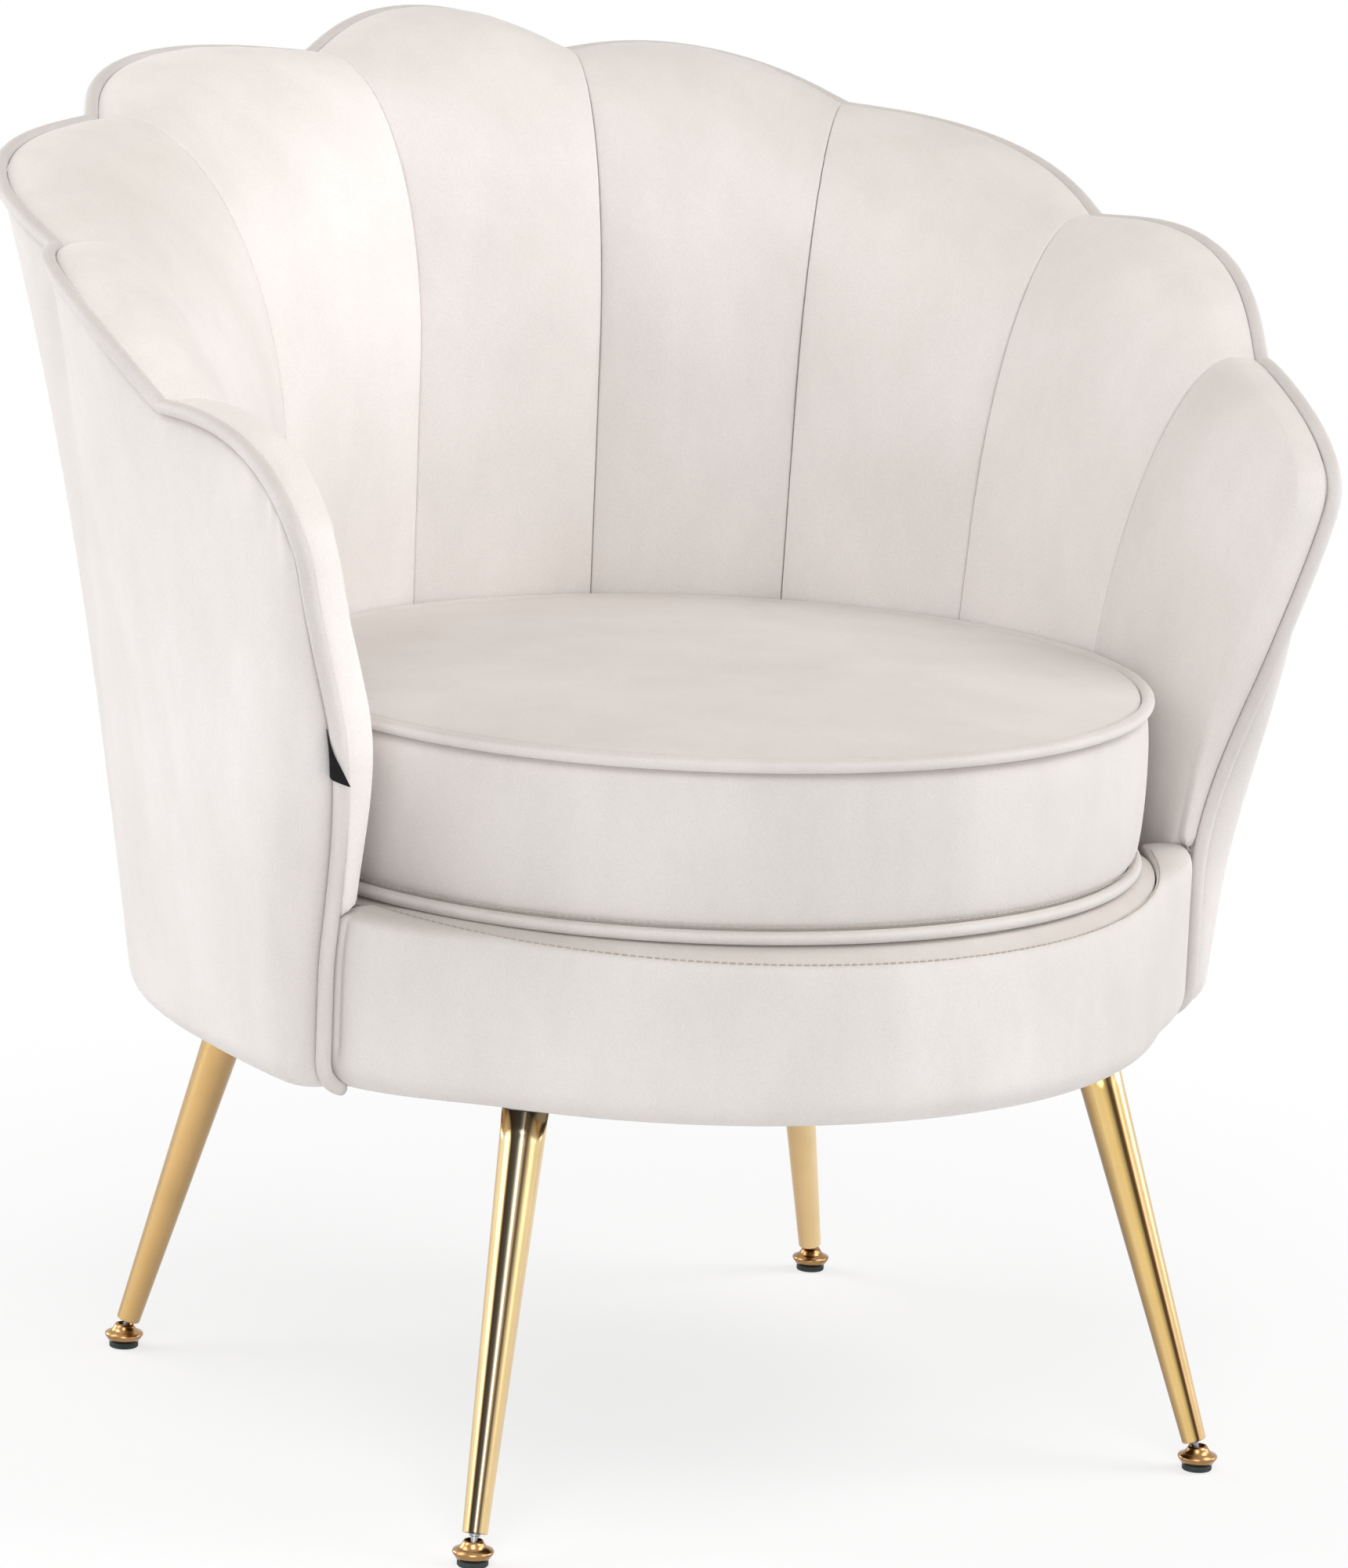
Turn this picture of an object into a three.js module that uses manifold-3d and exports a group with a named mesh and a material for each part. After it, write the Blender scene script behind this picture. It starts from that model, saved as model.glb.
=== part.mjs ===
// Scallop back chair: a tub armchair with nine padded petals, a loose round cushion
// and four splayed, tapered legs on swivelling levelling feet.
// Millimetres, +Z up, and the sitter faces -Y. Angles are in degrees round the seat's
// middle, from 0 at the back, positive towards +X.
import * as THREE from "three";
import { mergeVertices } from "three/addons/utils/BufferGeometryUtils.js";
import Module from "manifold-3d";

const wasm = await Module();
wasm.setup();

// Clearances
const seatGap = 0.3; // between pieces that touch
const cushionClearance = 0.7; // round the cushion, to the petals
const threadClearance = 0.3; // a stem in its leg's bush, and a screw in its hole
const ballClearance = 0.2; // a stem's ball in its socket
const overrun = 5; // what a cutting body passes its target by

// Seat: the round cushion and what carries it
const cushionRadius = 251; // over its piping
const cushionBottom = 338;
const cushionHeight = 98; // from the bottom face to the top edge
const cushionCrown = 9; // rise of the top face over its edge
const cushionSideBulge = 3.4;
const cushionPipingRadius = 3.7;
const cushionLip = 2.4; // the face's edge, above or below the piping's middle
const cushionSideInset = 4.5; // the side under its seams, from the piping's outside
const deckRimGap = 4.3; // from the deck's edge to the petals' seams
const deckRimDrop = 4; // the deck's edge under the cushion's underside, behind the arms' fronts
const deckRimThickness = 4;
const deckRimClearance = 1.4; // to the front band, along whose seam it runs
const deckRimWidth = 10.4; // from the deck's edge in to its flat top
const webbingThickness = 1.6;
const webbingWidth = 46;
const webbingPitch = 104;
const webbingEnd = 228; // where the straps end, from the seat's middle
const webbingRamp = 4; // a strap stays flat this far past the strap it crosses

// Base
const baseBottom = 239; // underside of the upholstered base
const frameHeight = 58;
const frameInnerRadius = 206;
const baseHalfWidth = 299.5;
const baseBackDepth = 288;
const baseFrontDepth = 496; // of the panel's plan, which ends at the arms
const baseCorner = 18; // round of the base's lower edge
const bandRadius = 266; // the front band where it bulges most
const bandSeamRadius = 257.5; // its top seam
const bandThickness = 9;
const bandTop = 329; // the top seam at the middle of the front
const bandSideRise = 10; // the top seam's climb towards the arms
const bandShoulder = 39; // from the top seam down to the widest place
const bandSideShoulder = 20; // the same at the arms, where it is squarer
const bandPower = 2;
const bandSidePower = 5;
const bandFlareShare = 0.3; // of the way from an arm to the middle, where it widens to meet the arm
const flangeWidth = 24; // fabric turned in under the frame
const flangeThickness = 0.7;
const dustCoverThickness = 1;
const dustCoverClearance = 2.4;
const frameClearance = 2.4; // to the front band

// Shell: petals, panel and the frame between them
const valleyHeight = 750; // the back's edge without its scallops
const armDrop = 139.5; // the edge's fall from the back to the arms
const edgeHalfWidth = 350.7;
const edgeBackDepth = 361.4;
const planPower = 2.74; // squareness of the plan behind the arms
const edgeFrontDepth = 420; // forward half axis of the plan that the arms follow
const middleSeatAngle = 26.8; // the middle petal's width at the seat and at the edge
const middleEdgeAngle = 27;
const sideSeatAngle = 25.7; // the other petals'
const sideEdgeAngle = 26.5;
const petalRise = 16; // scallops, up and out
const petalReach = 28;
const petalRiseShares = [1.19, 0.59, 0.37, 1.33]; // middle, inner side, outer side, next to the arm
const petalReachShares = [1.11, 1.2, 0.94, 0.77];
const bumpPower = 1.2;
const armFrontSeatAngle = 107.7; // the arm's front edge at the base and higher up
const armFrontAngle = 113.1;
const armFrontLow = 300; // where the front edge starts and ends its swing forwards
const armFrontHigh = 460;
const armCornerShare = 0.585; // where the arm's rounded top corner ends, between cushion and arm edge
const armCornerPower = 1.9;
const armFrontFoot = 291.5; // radius of the arm's front edge at the base
const armSweepLow = 321; // where that edge starts to climb outwards
const armFrontRound = 14; // how sharply the outer panel turns in to it, a power of the arm's share
const armHollow = 10; // how far the arm's upper edge runs inside its plan, midway
const seatCrownDepth = 4; // how far a petal stands proud of its seams, at the seat
const petalCrownDepth = 11; // and higher up
const crownPower = 0.62;
const backLean = 0.088; // the petals' run back for each millimetre of height, at the sides
const leanAngles = [8, 42]; // upright before the first, and at that lean from the second
const flareHeightBack = 168; // height over which a petal rolls outwards
const flareHeightArm = 186;
const crestInset = 21; // from the piping in to the crest
const seamCrestRise = 4; // the crest over the piping, at a seam and in a petal's middle
const petalCrestRise = 5;
const padThickness = 25; // a petal's foam over its board
const padClearance = 2.2; // behind a petal, to the board and to the panel
const padFoot = 300; // the petals' lower edge
const armFoot = 342; // and at the arms' front, over the front band's shoulder
const armFootShares = [0.42, 0.72]; // where it climbs from one to the other
const rearLeast = 0.3; // a petal's upright rear is at least this share of its height
const rollMargin = 30; // the roll starts at least this far over a petal's foot
const petalTuck = 1; // where a petal meets the piping, below the piping's middle
const pipingBed = 5.8; // from the piping's middle to the petals and the panel
const pipingFrontBed = 6.4; // and to the panel's front edges
const panelSetback = 0.1; // that distance as a share of the arm
const rimDepth = 30; // what a petal turns down behind its crest
const boardDrop = 96; // from the edge down to the board's top
const boardThickness = 6;
const noseThickness = 36; // the arm's padded front edge, radially
const noseFootThickness = 18;
const noseDepth = 12;
const noseRound = 9;
const panelThickness = 7;
const pipingRadius = 4.2;
const ribThickness = 15;
const ribSetback = 8; // under the petals' backs
const ribClearance = 4; // to the board
const ribPanelClearance = 1.9;
const ribRise = 41; // from the board's foot up to the ribs'

// Tag sewn into the left arm's piping seam
const tagHeight = 31;
const tagWidth = 9;
const tagTopWidth = 2;
const tagThickness = 0.9;
const tagOverhang = 5; // past the piping's middle, outwards
const tagFoot = 414;

// Legs and feet
const frontLegTop = { x: 180.5, y: -139 }; // where a leg's axis meets the base
const rearLegTop = { x: 180.5, y: 208 };
const frontFoot = { x: 231, y: -192 }; // and where its foot stands
const rearFoot = { x: 234, y: 250 };
const legTopDiameter = 25.6;
const legEndDiameter = 13.8;
const legWall = 1.2;
const legLipHeight = 1.2;
const plateDiameter = 50;
const plateThickness = 3;
const plateInset = 12; // the plate's middle, from the leg's axis towards the seat's middle
const plateHoleDiameter = 5;
const plateHoleCircle = 38;
const plateHoleCount = 4;
const bushLength = 16;
const stemDiameter = 6;
const stemNeckDiameter = 4;
const stemLength = 30;
const ballRadius = 3.6;
const ballHeight = 9; // the ball's middle over the floor
const neckLength = 8; // from the ball's middle to the leg's end
const neckShoulder = 6.8; // and to where the stem widens
const padDiameter = 17;
const padHeight = 3.5;
const footHeight = 10; // of the metal double cone
const footDiameter = 22.5;
const footTopDiameter = 10.4;
const footWaist = { diameter: 14.4, height: 6.8 }; // between the rim and the top
const footRimBand = 0.8;
const footUndersideDiameter = 17.8;
const socketTopRadius = 4.4;
const mouthRise = 2.05; // the socket's mouth, over the ball's middle
const footRimHeight = 3.6; // the widest edge, over the cone's underside
const socketMouthRadius = 3.2;

// Facets
const turnedFacets = 20;
const footFacets = 16;
const cushionFacets = 48;

const back = 0;
const petalIndexes = [-4, -3, -2, -1, 0, 1, 2, 3, 4];
const armIndex = petalIndexes.at(-1);
const armSeam = armIndex - 1;
const { degToRad, radToDeg, lerp, clamp, smoothstep } = THREE.MathUtils;

// What the driving dimensions give
const frameTop = baseBottom + dustCoverThickness + seatGap + frameHeight;
const webbingTop = frameTop + 2 * seatGap + 2 * webbingThickness;
const deckTop = cushionBottom - seatGap;
const cushionTop = cushionBottom + cushionHeight;
const seamSeatRadius = cushionRadius + cushionClearance + seatCrownDepth;
const deckRimRadius = seamSeatRadius - deckRimGap;
const deckRimHeight = cushionBottom - deckRimDrop;
const deckFaceRadius = deckRimRadius - deckRimWidth;
const frameBottom = baseBottom + dustCoverThickness + seatGap;
const boardFoot = frameTop + seatGap;
const ribFoot = boardFoot + ribRise;
const plateBottom = baseBottom - seatGap - plateThickness;
const legCut = plateBottom - seatGap;

// Plan curves

// The radius, in one direction, of a rounded plan that is squarer behind than in front.
function planRadius(angle, halfWidth, backDepth, frontDepth) {
  const s = Math.abs(Math.sin(degToRad(angle)));
  const c = Math.cos(degToRad(angle));
  if (c >= 0)
    return ((s / halfWidth) ** planPower + (c / backDepth) ** planPower) ** (-1 / planPower);
  return 1 / Math.hypot(s / halfWidth, c / frontDepth);
}

function basePlan(angle) {
  return planRadius(angle, baseHalfWidth, baseBackDepth, baseFrontDepth);
}

function edgePlan(angle) {
  return planRadius(angle, edgeHalfWidth, edgeBackDepth, edgeFrontDepth);
}

function polar(angle, radius, height) {
  const a = degToRad(angle);
  return new THREE.Vector3(radius * Math.sin(a), radius * Math.cos(a), height);
}

function valleyAt(angle) {
  return valleyHeight - armDrop * (1 - Math.cos(degToRad(angle)));
}

// The seam on a petal's outer side, seams counted from the back: its angle at a height.
function seamAngle(seam, height) {
  const atSeat = middleSeatAngle / 2 + sideSeatAngle * seam;
  const atEdge = middleEdgeAngle / 2 + sideEdgeAngle * seam;
  const climb = (height - cushionTop) / (valleyAt(atEdge) - cushionTop);
  return lerp(atSeat, atEdge, clamp(climb, 0, 1));
}

// Height of the arm's edge where it leaves the petal behind, and where its rounded corner ends.
const armEdgeHeight = valleyAt(seamAngle(armSeam, valleyHeight));
const armCornerHeight = lerp(cushionTop, armEdgeHeight, armCornerShare);

function armFrontAt(height) {
  return lerp(armFrontSeatAngle, armFrontAngle, smoothstep(height, armFrontLow, armFrontHigh));
}

// A petal is numbered from -4, on the left arm, to 4; share runs across it from the
// seam nearer the back to the other, and across the middle petal from left to right.
function angleAt(petal, share, height) {
  const n = Math.abs(petal);
  if (n === back) return seamAngle(0, height) * (2 * share - 1);
  const inner = seamAngle(n - 1, height);
  const outer = n === armIndex ? armFrontAt(height) : seamAngle(n, height);
  return Math.sign(petal) * lerp(inner, outer, share);
}

function bump(share) {
  return (4 * share * (1 - share)) ** bumpPower;
}

// Height and radius of the scalloped edge, where the piping lies.
function edgeAt(petal, share) {
  const n = Math.abs(petal);
  if (n === armIndex) {
    const turn = (1 - share ** armCornerPower) ** (1 / armCornerPower);
    const height = lerp(armCornerHeight, armEdgeHeight, turn);
    return { height, radius: outerRadius(petal, share, height) };
  }
  const angle = angleAt(petal, share, valleyHeight);
  return {
    height: valleyAt(angle) + petalRise * petalRiseShares[n] * bump(share),
    radius: edgePlan(angle) + petalReach * petalReachShares[n] * bump(share),
  };
}

// Radius of the outer panel's face: straight from the base to the edge, and turned in at
// the arm's front to an edge that sweeps up in an S.
function outerRadius(petal, share, height) {
  const n = Math.abs(petal);
  const angle = angleAt(petal, share, height);
  const foot = basePlan(angle);
  const atEdge = edgePlan(angle);
  if (n === armIndex) {
    const climb = (height - baseBottom) / (armEdgeHeight - baseBottom);
    const side = lerp(foot, atEdge, climb);
    const front = lerp(armFrontFoot, atEdge, smoothstep(height, armSweepLow, armEdgeHeight));
    return lerp(side, front, share ** armFrontRound) - armHollow * bump(share) * climb ** 2.5;
  }
  const edge = edgeAt(petal, share);
  const climb = clamp((height - baseBottom) / (edge.height - baseBottom), 0, 1);
  return lerp(foot, atEdge, climb) + (edge.radius - atEdge) * climb ** 2.5;
}

const panelRises = [1, 0.8, 0.62, 0.46, 0.3, 0.14, 0]; // shares of the way up from the rounded lower edge

function panelHeight(petal, share, rise) {
  return lerp(baseBottom + baseCorner, edgeAt(petal, share).height - pipingBed, rise);
}

// Radius inside the panel, whose face runs straight between its rises.
function panelInside(petal, share, height) {
  const heights = panelRises.map((rise) => panelHeight(petal, share, rise));
  const i = clamp(heights.findIndex((low) => low <= height), 1, heights.length - 1);
  const climb = (height - heights[i]) / (heights[i - 1] - heights[i]);
  const [low, high] = [heights[i], heights[i - 1]].map((at) => outerRadius(petal, share, at));
  return lerp(low, high, climb) - panelThickness;
}

// Radius of the petals' face at the seams, below the outward roll.
function leanRadius(petal, share, height) {
  const slope = backLean * smoothstep(Math.abs(angleAt(petal, share, height)), ...leanAngles);
  const lean = seamSeatRadius + slope * Math.max(height - cushionTop, 0);
  if (Math.abs(petal) !== armIndex) return lean;
  const nose = outerRadius(petal, 1, height) - noseThicknessAt(height);
  return lerp(lean, Math.max(nose, lean), share ** 1.6);
}

function noseThicknessAt(height) {
  return lerp(noseFootThickness, noseThickness, smoothstep(height, armFoot, armFrontHigh));
}

// Radius of a petal's rear, on its board below and inside the panel above.
function rearRadius(petal, share, height) {
  const board = leanRadius(petal, share, height) + padThickness;
  return Math.min(board, rearInside(petal, share, height));
}

// The rear's greatest radius. The panel ends behind the arm's front, so its shares run ahead there.
function rearInside(petal, share, height) {
  const ahead = Math.abs(petal) === armIndex ? Math.min(share / (1 - panelSetback), 1) : share;
  return Math.min(...[share, ahead].map((at) => panelInside(petal, at, height))) - padClearance;
}

// Solids

function signedVolume(geometry) {
  const p = geometry.getAttribute("position");
  const index = geometry.index;
  const [a, b, c] = [new THREE.Vector3(), new THREE.Vector3(), new THREE.Vector3()];
  let sum = 0;
  for (let i = 0; i < index.count; i += 3) {
    a.fromBufferAttribute(p, index.getX(i));
    b.fromBufferAttribute(p, index.getX(i + 1));
    c.fromBufferAttribute(p, index.getX(i + 2));
    sum += a.dot(b.cross(c));
  }
  return sum;
}

function geometryOf(points, triangles) {
  const geometry = new THREE.BufferGeometry().setFromPoints(points);
  geometry.setIndex(triangles.flat());
  if (signedVolume(geometry) < 0) geometry.setIndex(triangles.flatMap(([a, b, c]) => [a, c, b]));
  geometry.computeVertexNormals();
  return geometry;
}

// Triangles over one end of a loft, in the order of its outline. A wall's outline runs
// down one face and back up the other, and is capped from face to face.
function capTriangles({ outline, isWall }) {
  const last = outline.length - 1;
  if (isWall)
    return Array.from({ length: (last - 1) / 2 }, (_, i) => [
      [i, i + 1, last - 1 - i],
      [i, last - 1 - i, last - i],
    ]).flat();
  const triangles = THREE.ShapeUtils.triangulateShape(outline, []);
  return THREE.ShapeUtils.isClockWise(outline) ? triangles.map(([a, b, c]) => [a, c, b]) : triangles;
}

// A solid through rings of points, each { points, outline }, where outline is the same
// ring flattened, which the end caps are cut from. A closed one runs back to its start.
function loft(rings, closed = false) {
  const count = rings[0].points.length;
  const points = rings.flatMap((ring) => ring.points);
  const triangles = [];
  for (let i = 0; i < (closed ? rings.length : rings.length - 1); i++)
    for (let j = 0; j < count; j++) {
      const [a, b] = [i * count + j, i * count + ((j + 1) % count)];
      const [c, d] = [a, b].map((index) => (index + count) % points.length);
      triangles.push([a, b, c], [b, d, c]);
    }
  if (closed) return geometryOf(points, triangles);
  const end = (rings.length - 1) * count;
  for (const [a, b, c] of capTriangles(rings[0])) triangles.push([a, c, b]);
  for (const [a, b, c] of capTriangles(rings.at(-1))) triangles.push([end + a, end + b, end + c]);
  return geometryOf(points, triangles);
}

// A ring of the shell: places are [radius, height] pairs, and angleOf gives each its angle.
function shellRing(places, angleOf, isWall = false) {
  return {
    points: places.map(([radius, height]) => polar(angleOf(height, radius), radius, height)),
    outline: places.map(([radius, height]) => new THREE.Vector2(radius, height)),
    isWall,
  };
}

function turned(places, facets) {
  const profile = places.map(([radius, height]) => new THREE.Vector2(radius, height));
  return new THREE.LatheGeometry(profile, facets).rotateX(Math.PI / 2);
}

function tube(path, radius, sides, steps, closed) {
  const section = new THREE.Shape(
    Array.from({ length: sides }, (_, i) => {
      const a = (2 * Math.PI * i) / sides;
      return new THREE.Vector2(radius * Math.cos(a), radius * Math.sin(a));
    }),
  );
  const curve = new THREE.CatmullRomCurve3(path, closed);
  return new THREE.ExtrudeGeometry(section, { steps, extrudePath: curve, bevelEnabled: false });
}

function solidOf(geometry) {
  const bare = geometry.clone();
  bare.deleteAttribute("normal");
  bare.deleteAttribute("uv");
  const merged = mergeVertices(bare);
  return new wasm.Manifold(
    new wasm.Mesh({
      numProp: 3,
      vertProperties: merged.getAttribute("position").array,
      triVerts: new Uint32Array(merged.index.array),
    }),
  );
}

function geometryFrom(solid) {
  const mesh = solid.getMesh();
  const geometry = new THREE.BufferGeometry();
  geometry.setAttribute("position", new THREE.BufferAttribute(mesh.vertProperties, 3));
  geometry.setIndex(new THREE.BufferAttribute(mesh.triVerts, 1));
  geometry.computeVertexNormals();
  return geometry;
}

// Materials

const velvet = new THREE.MeshStandardMaterial({ color: 0xe6ded9, roughness: 0.85, metalness: 0 });
const foamCloth = new THREE.MeshStandardMaterial({ color: 0xd8cfc6, roughness: 0.9, metalness: 0 });
const plywood = new THREE.MeshStandardMaterial({ color: 0xc9a878, roughness: 0.8, metalness: 0 });
const webCloth = new THREE.MeshStandardMaterial({ color: 0x5a5248, roughness: 0.9, metalness: 0 });
const blackCloth = new THREE.MeshStandardMaterial({ color: 0x1b1b1c, roughness: 0.9, metalness: 0 });
const gold = new THREE.MeshStandardMaterial({ color: 0xd6ab62, roughness: 0.2, metalness: 1 });
const brass = new THREE.MeshStandardMaterial({ color: 0xa87b45, roughness: 0.35, metalness: 1 });
const steel = new THREE.MeshStandardMaterial({ color: 0x8d8f92, roughness: 0.4, metalness: 1 });
const rubber = new THREE.MeshStandardMaterial({ color: 0x2c3333, roughness: 0.8, metalness: 0 });

const chair = new THREE.Group();

function add(name, geometry, material, parent = chair) {
  const mesh = new THREE.Mesh(geometry, material);
  mesh.name = name;
  parent.add(mesh);
  return mesh;
}

// Petals

const rollSteps = 6;
const crestSteps = 3;
const petalShares = [0, 1, 2, 3, 4, 5, 6].map((step) => step / 6);
const armShares = [0, 0.18, 0.36, 0.54, 0.7, 0.83, 0.92, 0.98, 1];
const boardArmShares = armShares.slice(0, 2);
const noseTurns = [0.33, 0.66, 0.94]; // shares of a quarter turn

// One section of a petal: its face from the foot up, over the crest and down inside the panel.
function petalSection(petal, share) {
  const edge = edgeAt(petal, share);
  const proud = (4 * share * (1 - share)) ** crownPower;
  const isArm = Math.abs(petal) === armIndex;
  const rise = lerp(seamCrestRise, petalCrestRise, proud);
  const crestHeight = edge.height + rise;
  const crestRadius = edge.radius - crestInset;
  const flare = lerp(flareHeightArm, flareHeightBack, Math.cos(degToRad(angleAt(petal, share, edge.height))));
  const foot = isArm ? lerp(padFoot, armFoot, smoothstep(share, ...armFootShares)) : padFoot;
  const rollHeight = Math.min(flare, crestHeight - foot - rollMargin);
  const rollFoot = crestHeight - rollHeight;
  const places = [];
  const crownAt = (height) =>
    lerp(seatCrownDepth, petalCrownDepth, smoothstep(height, cushionTop, cushionTop + flareHeightBack)) * proud;
  const seat = Math.min(cushionTop, lerp(foot, rollFoot, 0.5));
  for (const height of [foot, seat, lerp(seat, rollFoot, 0.5)])
    places.push([leanRadius(petal, share, height) - crownAt(height), height]);
  const reach = crestRadius - leanRadius(petal, share, crestHeight);
  for (let i = 0; i < rollSteps; i++) {
    const a = (i / rollSteps) * (Math.PI / 2);
    const height = rollFoot + rollHeight * Math.sin(a);
    const radius = leanRadius(petal, share, height) + reach * (1 - Math.cos(a));
    const crown = crownAt(height) * (1 - i / rollSteps);
    places.push([radius - crown * Math.cos(a), height + crown * Math.sin(a)]);
  }
  for (let i = 0; i <= crestSteps; i++) {
    const a = (i / crestSteps) * (Math.PI / 2);
    places.push([
      crestRadius + (edge.radius - pipingBed - crestRadius) * Math.sin(a),
      edge.height - petalTuck + (rise + petalTuck) * Math.cos(a),
    ]);
  }
  for (const height of [panelHeight(petal, share, 1), edge.height - rimDepth])
    places.push([rearInside(petal, share, height), height]);
  const top = Math.max(edge.height - boardDrop, lerp(foot, edge.height, rearLeast));
  for (const height of boardHeights(foot, top).reverse())
    places.push([rearRadius(petal, share, height), height]);
  return places;
}

function petalRing(petal, share, offset) {
  const side = petal < 0 ? -1 : 1;
  return shellRing(petalSection(petal, share), (height, radius) =>
    angleAt(petal, share, height) + side * radToDeg(offset / radius));
}

// The padded front edge of an arm: its last section drawn in and carried forwards, in an arc.
function noseRing(petal, turn) {
  const a = turn * (Math.PI / 2);
  const section = petalSection(petal, 1);
  const top = Math.max(...section.map(([, height]) => height));
  const places = section.map(([radius, height]) => {
    const middle = outerRadius(petal, 1, height) - noseThicknessAt(height) / 2;
    const climb = (height - armFoot) / (top - armFoot);
    return [lerp(middle, radius, Math.cos(a)), height - noseRound * climb * (1 - Math.cos(a))];
  });
  return shellRing(places, (height, radius) =>
    angleAt(petal, 1, height) + Math.sign(petal) * radToDeg((noseDepth * Math.sin(a)) / radius));
}

function sharesOf(petal) {
  return Math.abs(petal) === armIndex ? armShares : petalShares;
}

function petalGeometry(petal) {
  const rings = sharesOf(petal).map((share) => {
    const isFront = Math.abs(petal) === armIndex && share === 1;
    return petalRing(petal, share, isFront ? 0 : (seatGap / 2) * (1 - 2 * share));
  });
  if (Math.abs(petal) === armIndex) for (const turn of noseTurns) rings.push(noseRing(petal, turn));
  return loft(rings);
}

// Rings right round the back, from the left arm to the right one.
function ringsRound(armList, ringOf) {
  return petalIndexes.flatMap((petal) => {
    const shares = Math.abs(petal) === armIndex ? armList : petalShares;
    const ordered = petal < back ? [...shares].reverse() : shares;
    return (petal === -armIndex ? ordered : ordered.slice(1)).map((share) => ringOf(petal, share));
  });
}

function buildPetals() {
  for (const petal of petalIndexes)
    add("back_channel_" + (petal + 1 + armIndex), petalGeometry(petal), velvet);
}

// Outer panel: a thin upholstered wall from the piping down and under the base

const cornerSteps = 3;

// Places round the base's lower edge, on a face that stands inset from the plan.
function cornerPlaces(plan, inset, low) {
  const places = [];
  for (let i = 0; i <= cornerSteps; i++) {
    const a = (i / cornerSteps) * (Math.PI / 2);
    const round = baseCorner - inset;
    places.push([plan - baseCorner + round * Math.cos(a), low + baseCorner - inset - round * Math.sin(a)]);
  }
  return places;
}

function panelRing(petal, share) {
  const wall = (inset) => panelRises.slice(0, -1).map((rise) => {
    const height = panelHeight(petal, share, rise);
    return [outerRadius(petal, share, height) - inset, height];
  });
  const foot = outerRadius(petal, share, baseBottom + baseCorner);
  const flange = foot - baseCorner - flangeWidth;
  const places = [
    ...wall(0),
    ...cornerPlaces(foot, 0, baseBottom),
    [flange, baseBottom],
    [flange, baseBottom + flangeThickness],
    ...cornerPlaces(foot, panelThickness, baseBottom + flangeThickness).reverse(),
    ...wall(panelThickness).reverse(),
  ];
  const front = Math.abs(petal) === armIndex ? pipingFrontBed * share : 0;
  const angleOf = (height, radius) => angleAt(petal, share, height) - Math.sign(petal) * radToDeg(front / radius);
  return shellRing(places, angleOf, true);
}

function buildPanel() {
  add("outer_panel", loft(ringsRound(armShares, panelRing)), velvet);
}

// Piping along the scalloped edge, from the base at one arm to the base at the other

const pipingSides = 6;
const pipingSteps = 120;
const pipingRises = [0, 0.14, 0.28, 0.42, 0.56, 0.7, 0.85]; // shares of the arm's front edge
const cornerTurns = [0, 0.2, 0.4, 0.6, 0.8, 0.9]; // shares of its rounded top corner
const pipingShares = [0, 0.07, 0.18, 0.34, 0.5, 0.66, 0.82, 0.93];

function armPipingPath() {
  const path = [];
  const low = baseBottom + baseCorner;
  const foot = outerRadius(armIndex, 1, low);
  for (const [radius, height] of cornerPlaces(foot, 0, baseBottom).reverse().slice(1))
    path.push(polar(armFrontAt(height), radius, height));
  for (const rise of pipingRises.slice(1)) {
    const height = lerp(low, armCornerHeight, rise);
    path.push(polar(armFrontAt(height), outerRadius(armIndex, 1, height), height));
  }
  for (const turn of cornerTurns) {
    const share = Math.cos(turn * (Math.PI / 2)) ** (2 / armCornerPower);
    const edge = edgeAt(armIndex, share);
    path.push(polar(angleAt(armIndex, share, edge.height), edge.radius, edge.height));
  }
  return path;
}

function edgePoint(petal, share) {
  const edge = edgeAt(petal, share);
  return polar(angleAt(petal, share, edge.height), edge.radius, edge.height);
}

function buildPiping() {
  const side = armPipingPath();
  for (const petal of [3, 2, 1]) for (const share of pipingShares) side.push(edgePoint(petal, 1 - share));
  const middle = pipingShares.map((share) => edgePoint(back, 1 - share));
  const mirrored = side.map((point) => new THREE.Vector3(-point.x, point.y, point.z)).reverse();
  const path = [...side, ...middle, edgePoint(back, 0), ...mirrored];
  add("edge_piping", tube(path, pipingRadius, pipingSides, pipingSteps, false), velvet);
}

// Base: the frame, the front band over it, and the dust cover below

// How near the middle of the front an angle is, from 0 at the arms to 1.
function frontShare(angle) {
  return clamp((Math.abs(angle) - armFrontSeatAngle) / (180 - armFrontSeatAngle), 0, 1);
}

function armEdgeRadius(height) {
  return outerRadius(armIndex, 1, height) - pipingBed;
}

function bandWidest(share, height) {
  return lerp(armEdgeRadius(height), bandRadius, smoothstep(share, 0, bandFlareShare));
}

function bandSeamHeight(share) {
  return bandTop + bandSideRise * (1 - share) ** 2;
}

const shoulderSteps = 4;
const bandShares = [0, 0.03, 0.07, 0.12, 0.18, 0.25, 0.34, 0.46, 0.6, 0.73, 0.87, 1];

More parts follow.
